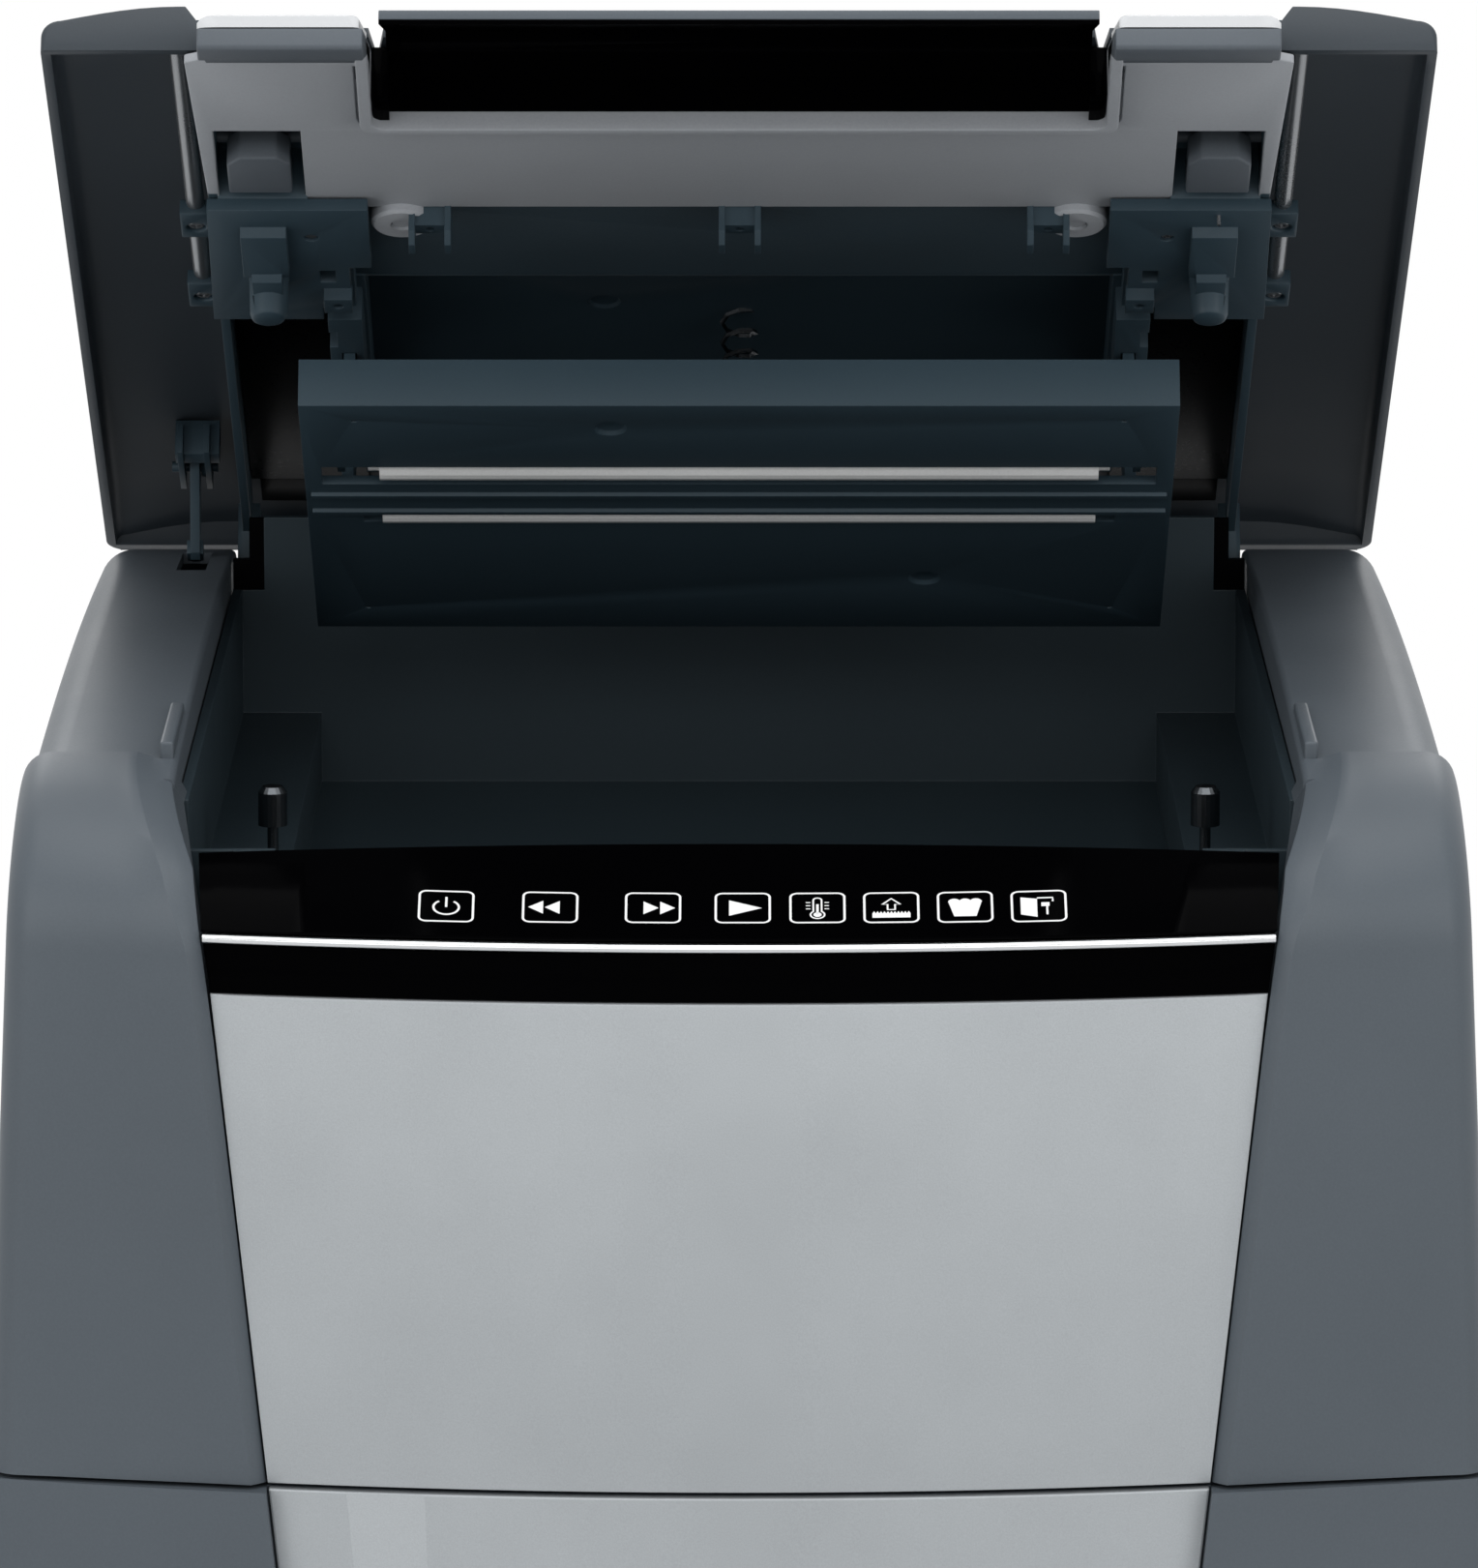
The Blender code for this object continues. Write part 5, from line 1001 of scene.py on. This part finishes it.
# ---------------------------------------------------------------- stage, light and camera
def make_stage():
    data = bmesh.new()
    half = 1600.0
    for x, y in ((-half, -2600.0), (half, -2600.0), (half, 900.0), (-half, 900.0)):
        data.verts.new((x, y, -0.2))
    data.faces.new(list(data.verts))
    floor = make_object("floor", data, "white_plastic")
    made, tree, shader = node_material("floor")
    place = tree.nodes.new("ShaderNodeTexCoord")
    cloud = noise(tree, place, 3.0)
    tree.links.new(tint(tree, cloud.outputs["Fac"], (0.80, 0.80, 0.80), (0.84, 0.84, 0.84)),
                   shader.inputs["Base Color"])
    shader.inputs["Roughness"].default_value = 0.9
    floor.data.materials.clear()
    floor.data.materials.append(made)

    world = bpy.data.worlds.new("studio")
    world.use_nodes = True
    tree = world.node_tree
    tree.nodes.clear()
    out = tree.nodes.new("ShaderNodeOutputWorld")
    soft = add_node(tree, "ShaderNodeBackground", Color=(0.95, 0.97, 1.0, 1), Strength=0.42)
    white = add_node(tree, "ShaderNodeBackground", Color=(1, 1, 1, 1), Strength=1.0)
    path = tree.nodes.new("ShaderNodeLightPath")
    mix = tree.nodes.new("ShaderNodeMixShader")
    seen = path.outputs["Is Camera Ray"]
    for kind in ("Is Glossy Ray", "Is Transmission Ray"):
        either = tree.nodes.new("ShaderNodeMath")
        either.operation = "MAXIMUM"
        tree.links.new(seen, either.inputs[0])
        tree.links.new(path.outputs[kind], either.inputs[1])
        seen = either.outputs[0]
    tree.links.new(seen, mix.inputs["Fac"])
    tree.links.new(soft.outputs["Background"], mix.inputs[1])
    tree.links.new(white.outputs["Background"], mix.inputs[2])
    tree.links.new(mix.outputs["Shader"], out.inputs["Surface"])
    bpy.context.scene.world = world


def lamp(name, place, aim, size, power, colour=(1, 1, 1)):
    data = bpy.data.lights.new(name, "AREA")
    data.shape = "RECTANGLE"
    data.size, data.size_y = size
    data.energy = power
    data.color = colour
    made = bpy.data.objects.new(name, data)
    made.location = place
    made.rotation_euler = (Vector(aim) - Vector(place)).to_track_quat("-Z", "Y").to_euler()
    bpy.context.scene.collection.objects.link(made)


def make_lights():
    target = (0, 0, 0.45)
    lamp("top", (0, -0.2, 2.3), target, (1.8, 1.4), 22.0)
    lamp("left", (-1.7, -1.5, 1.3), target, (0.9, 1.8), 16.0)
    lamp("right", (1.7, -1.5, 1.3), target, (0.9, 1.8), 16.0)
    lamp("front", (0, -2.6, 1.9), target, (2.2, 0.8), 14.0)
    lamp("back", (0, 2.0, 1.7), target, (2.0, 1.0), 12.0)


def make_camera():
    data = bpy.data.cameras.new("camera")
    data.sensor_width = 36.0
    data.lens = 11000.0 / 1621.0 * 36.0
    data.clip_end = 50.0
    camera = bpy.data.objects.new("camera", data)
    camera.location = (0.0, -2.692, 1.064)
    camera.rotation_euler = (math.radians(90 - 11.36), 0, 0)
    bpy.context.scene.collection.objects.link(camera)
    bpy.context.scene.camera = camera


def main():
    dress_nodes()
    for side in (-1, 1):
        make_housing(side)
    make_front()
    make_icons()
    make_lid_shell()
    make_inner_plate()
    make_lips()
    make_side_walls()
    make_liner()
    make_side_fittings()
    make_window()
    make_trims()
    make_latches()
    make_press_plate()
    make_interlock()
    make_tray_ends()
    make_stage()
    make_lights()
    make_camera()
    bpy.context.scene.view_settings.view_transform = "Standard"


main()
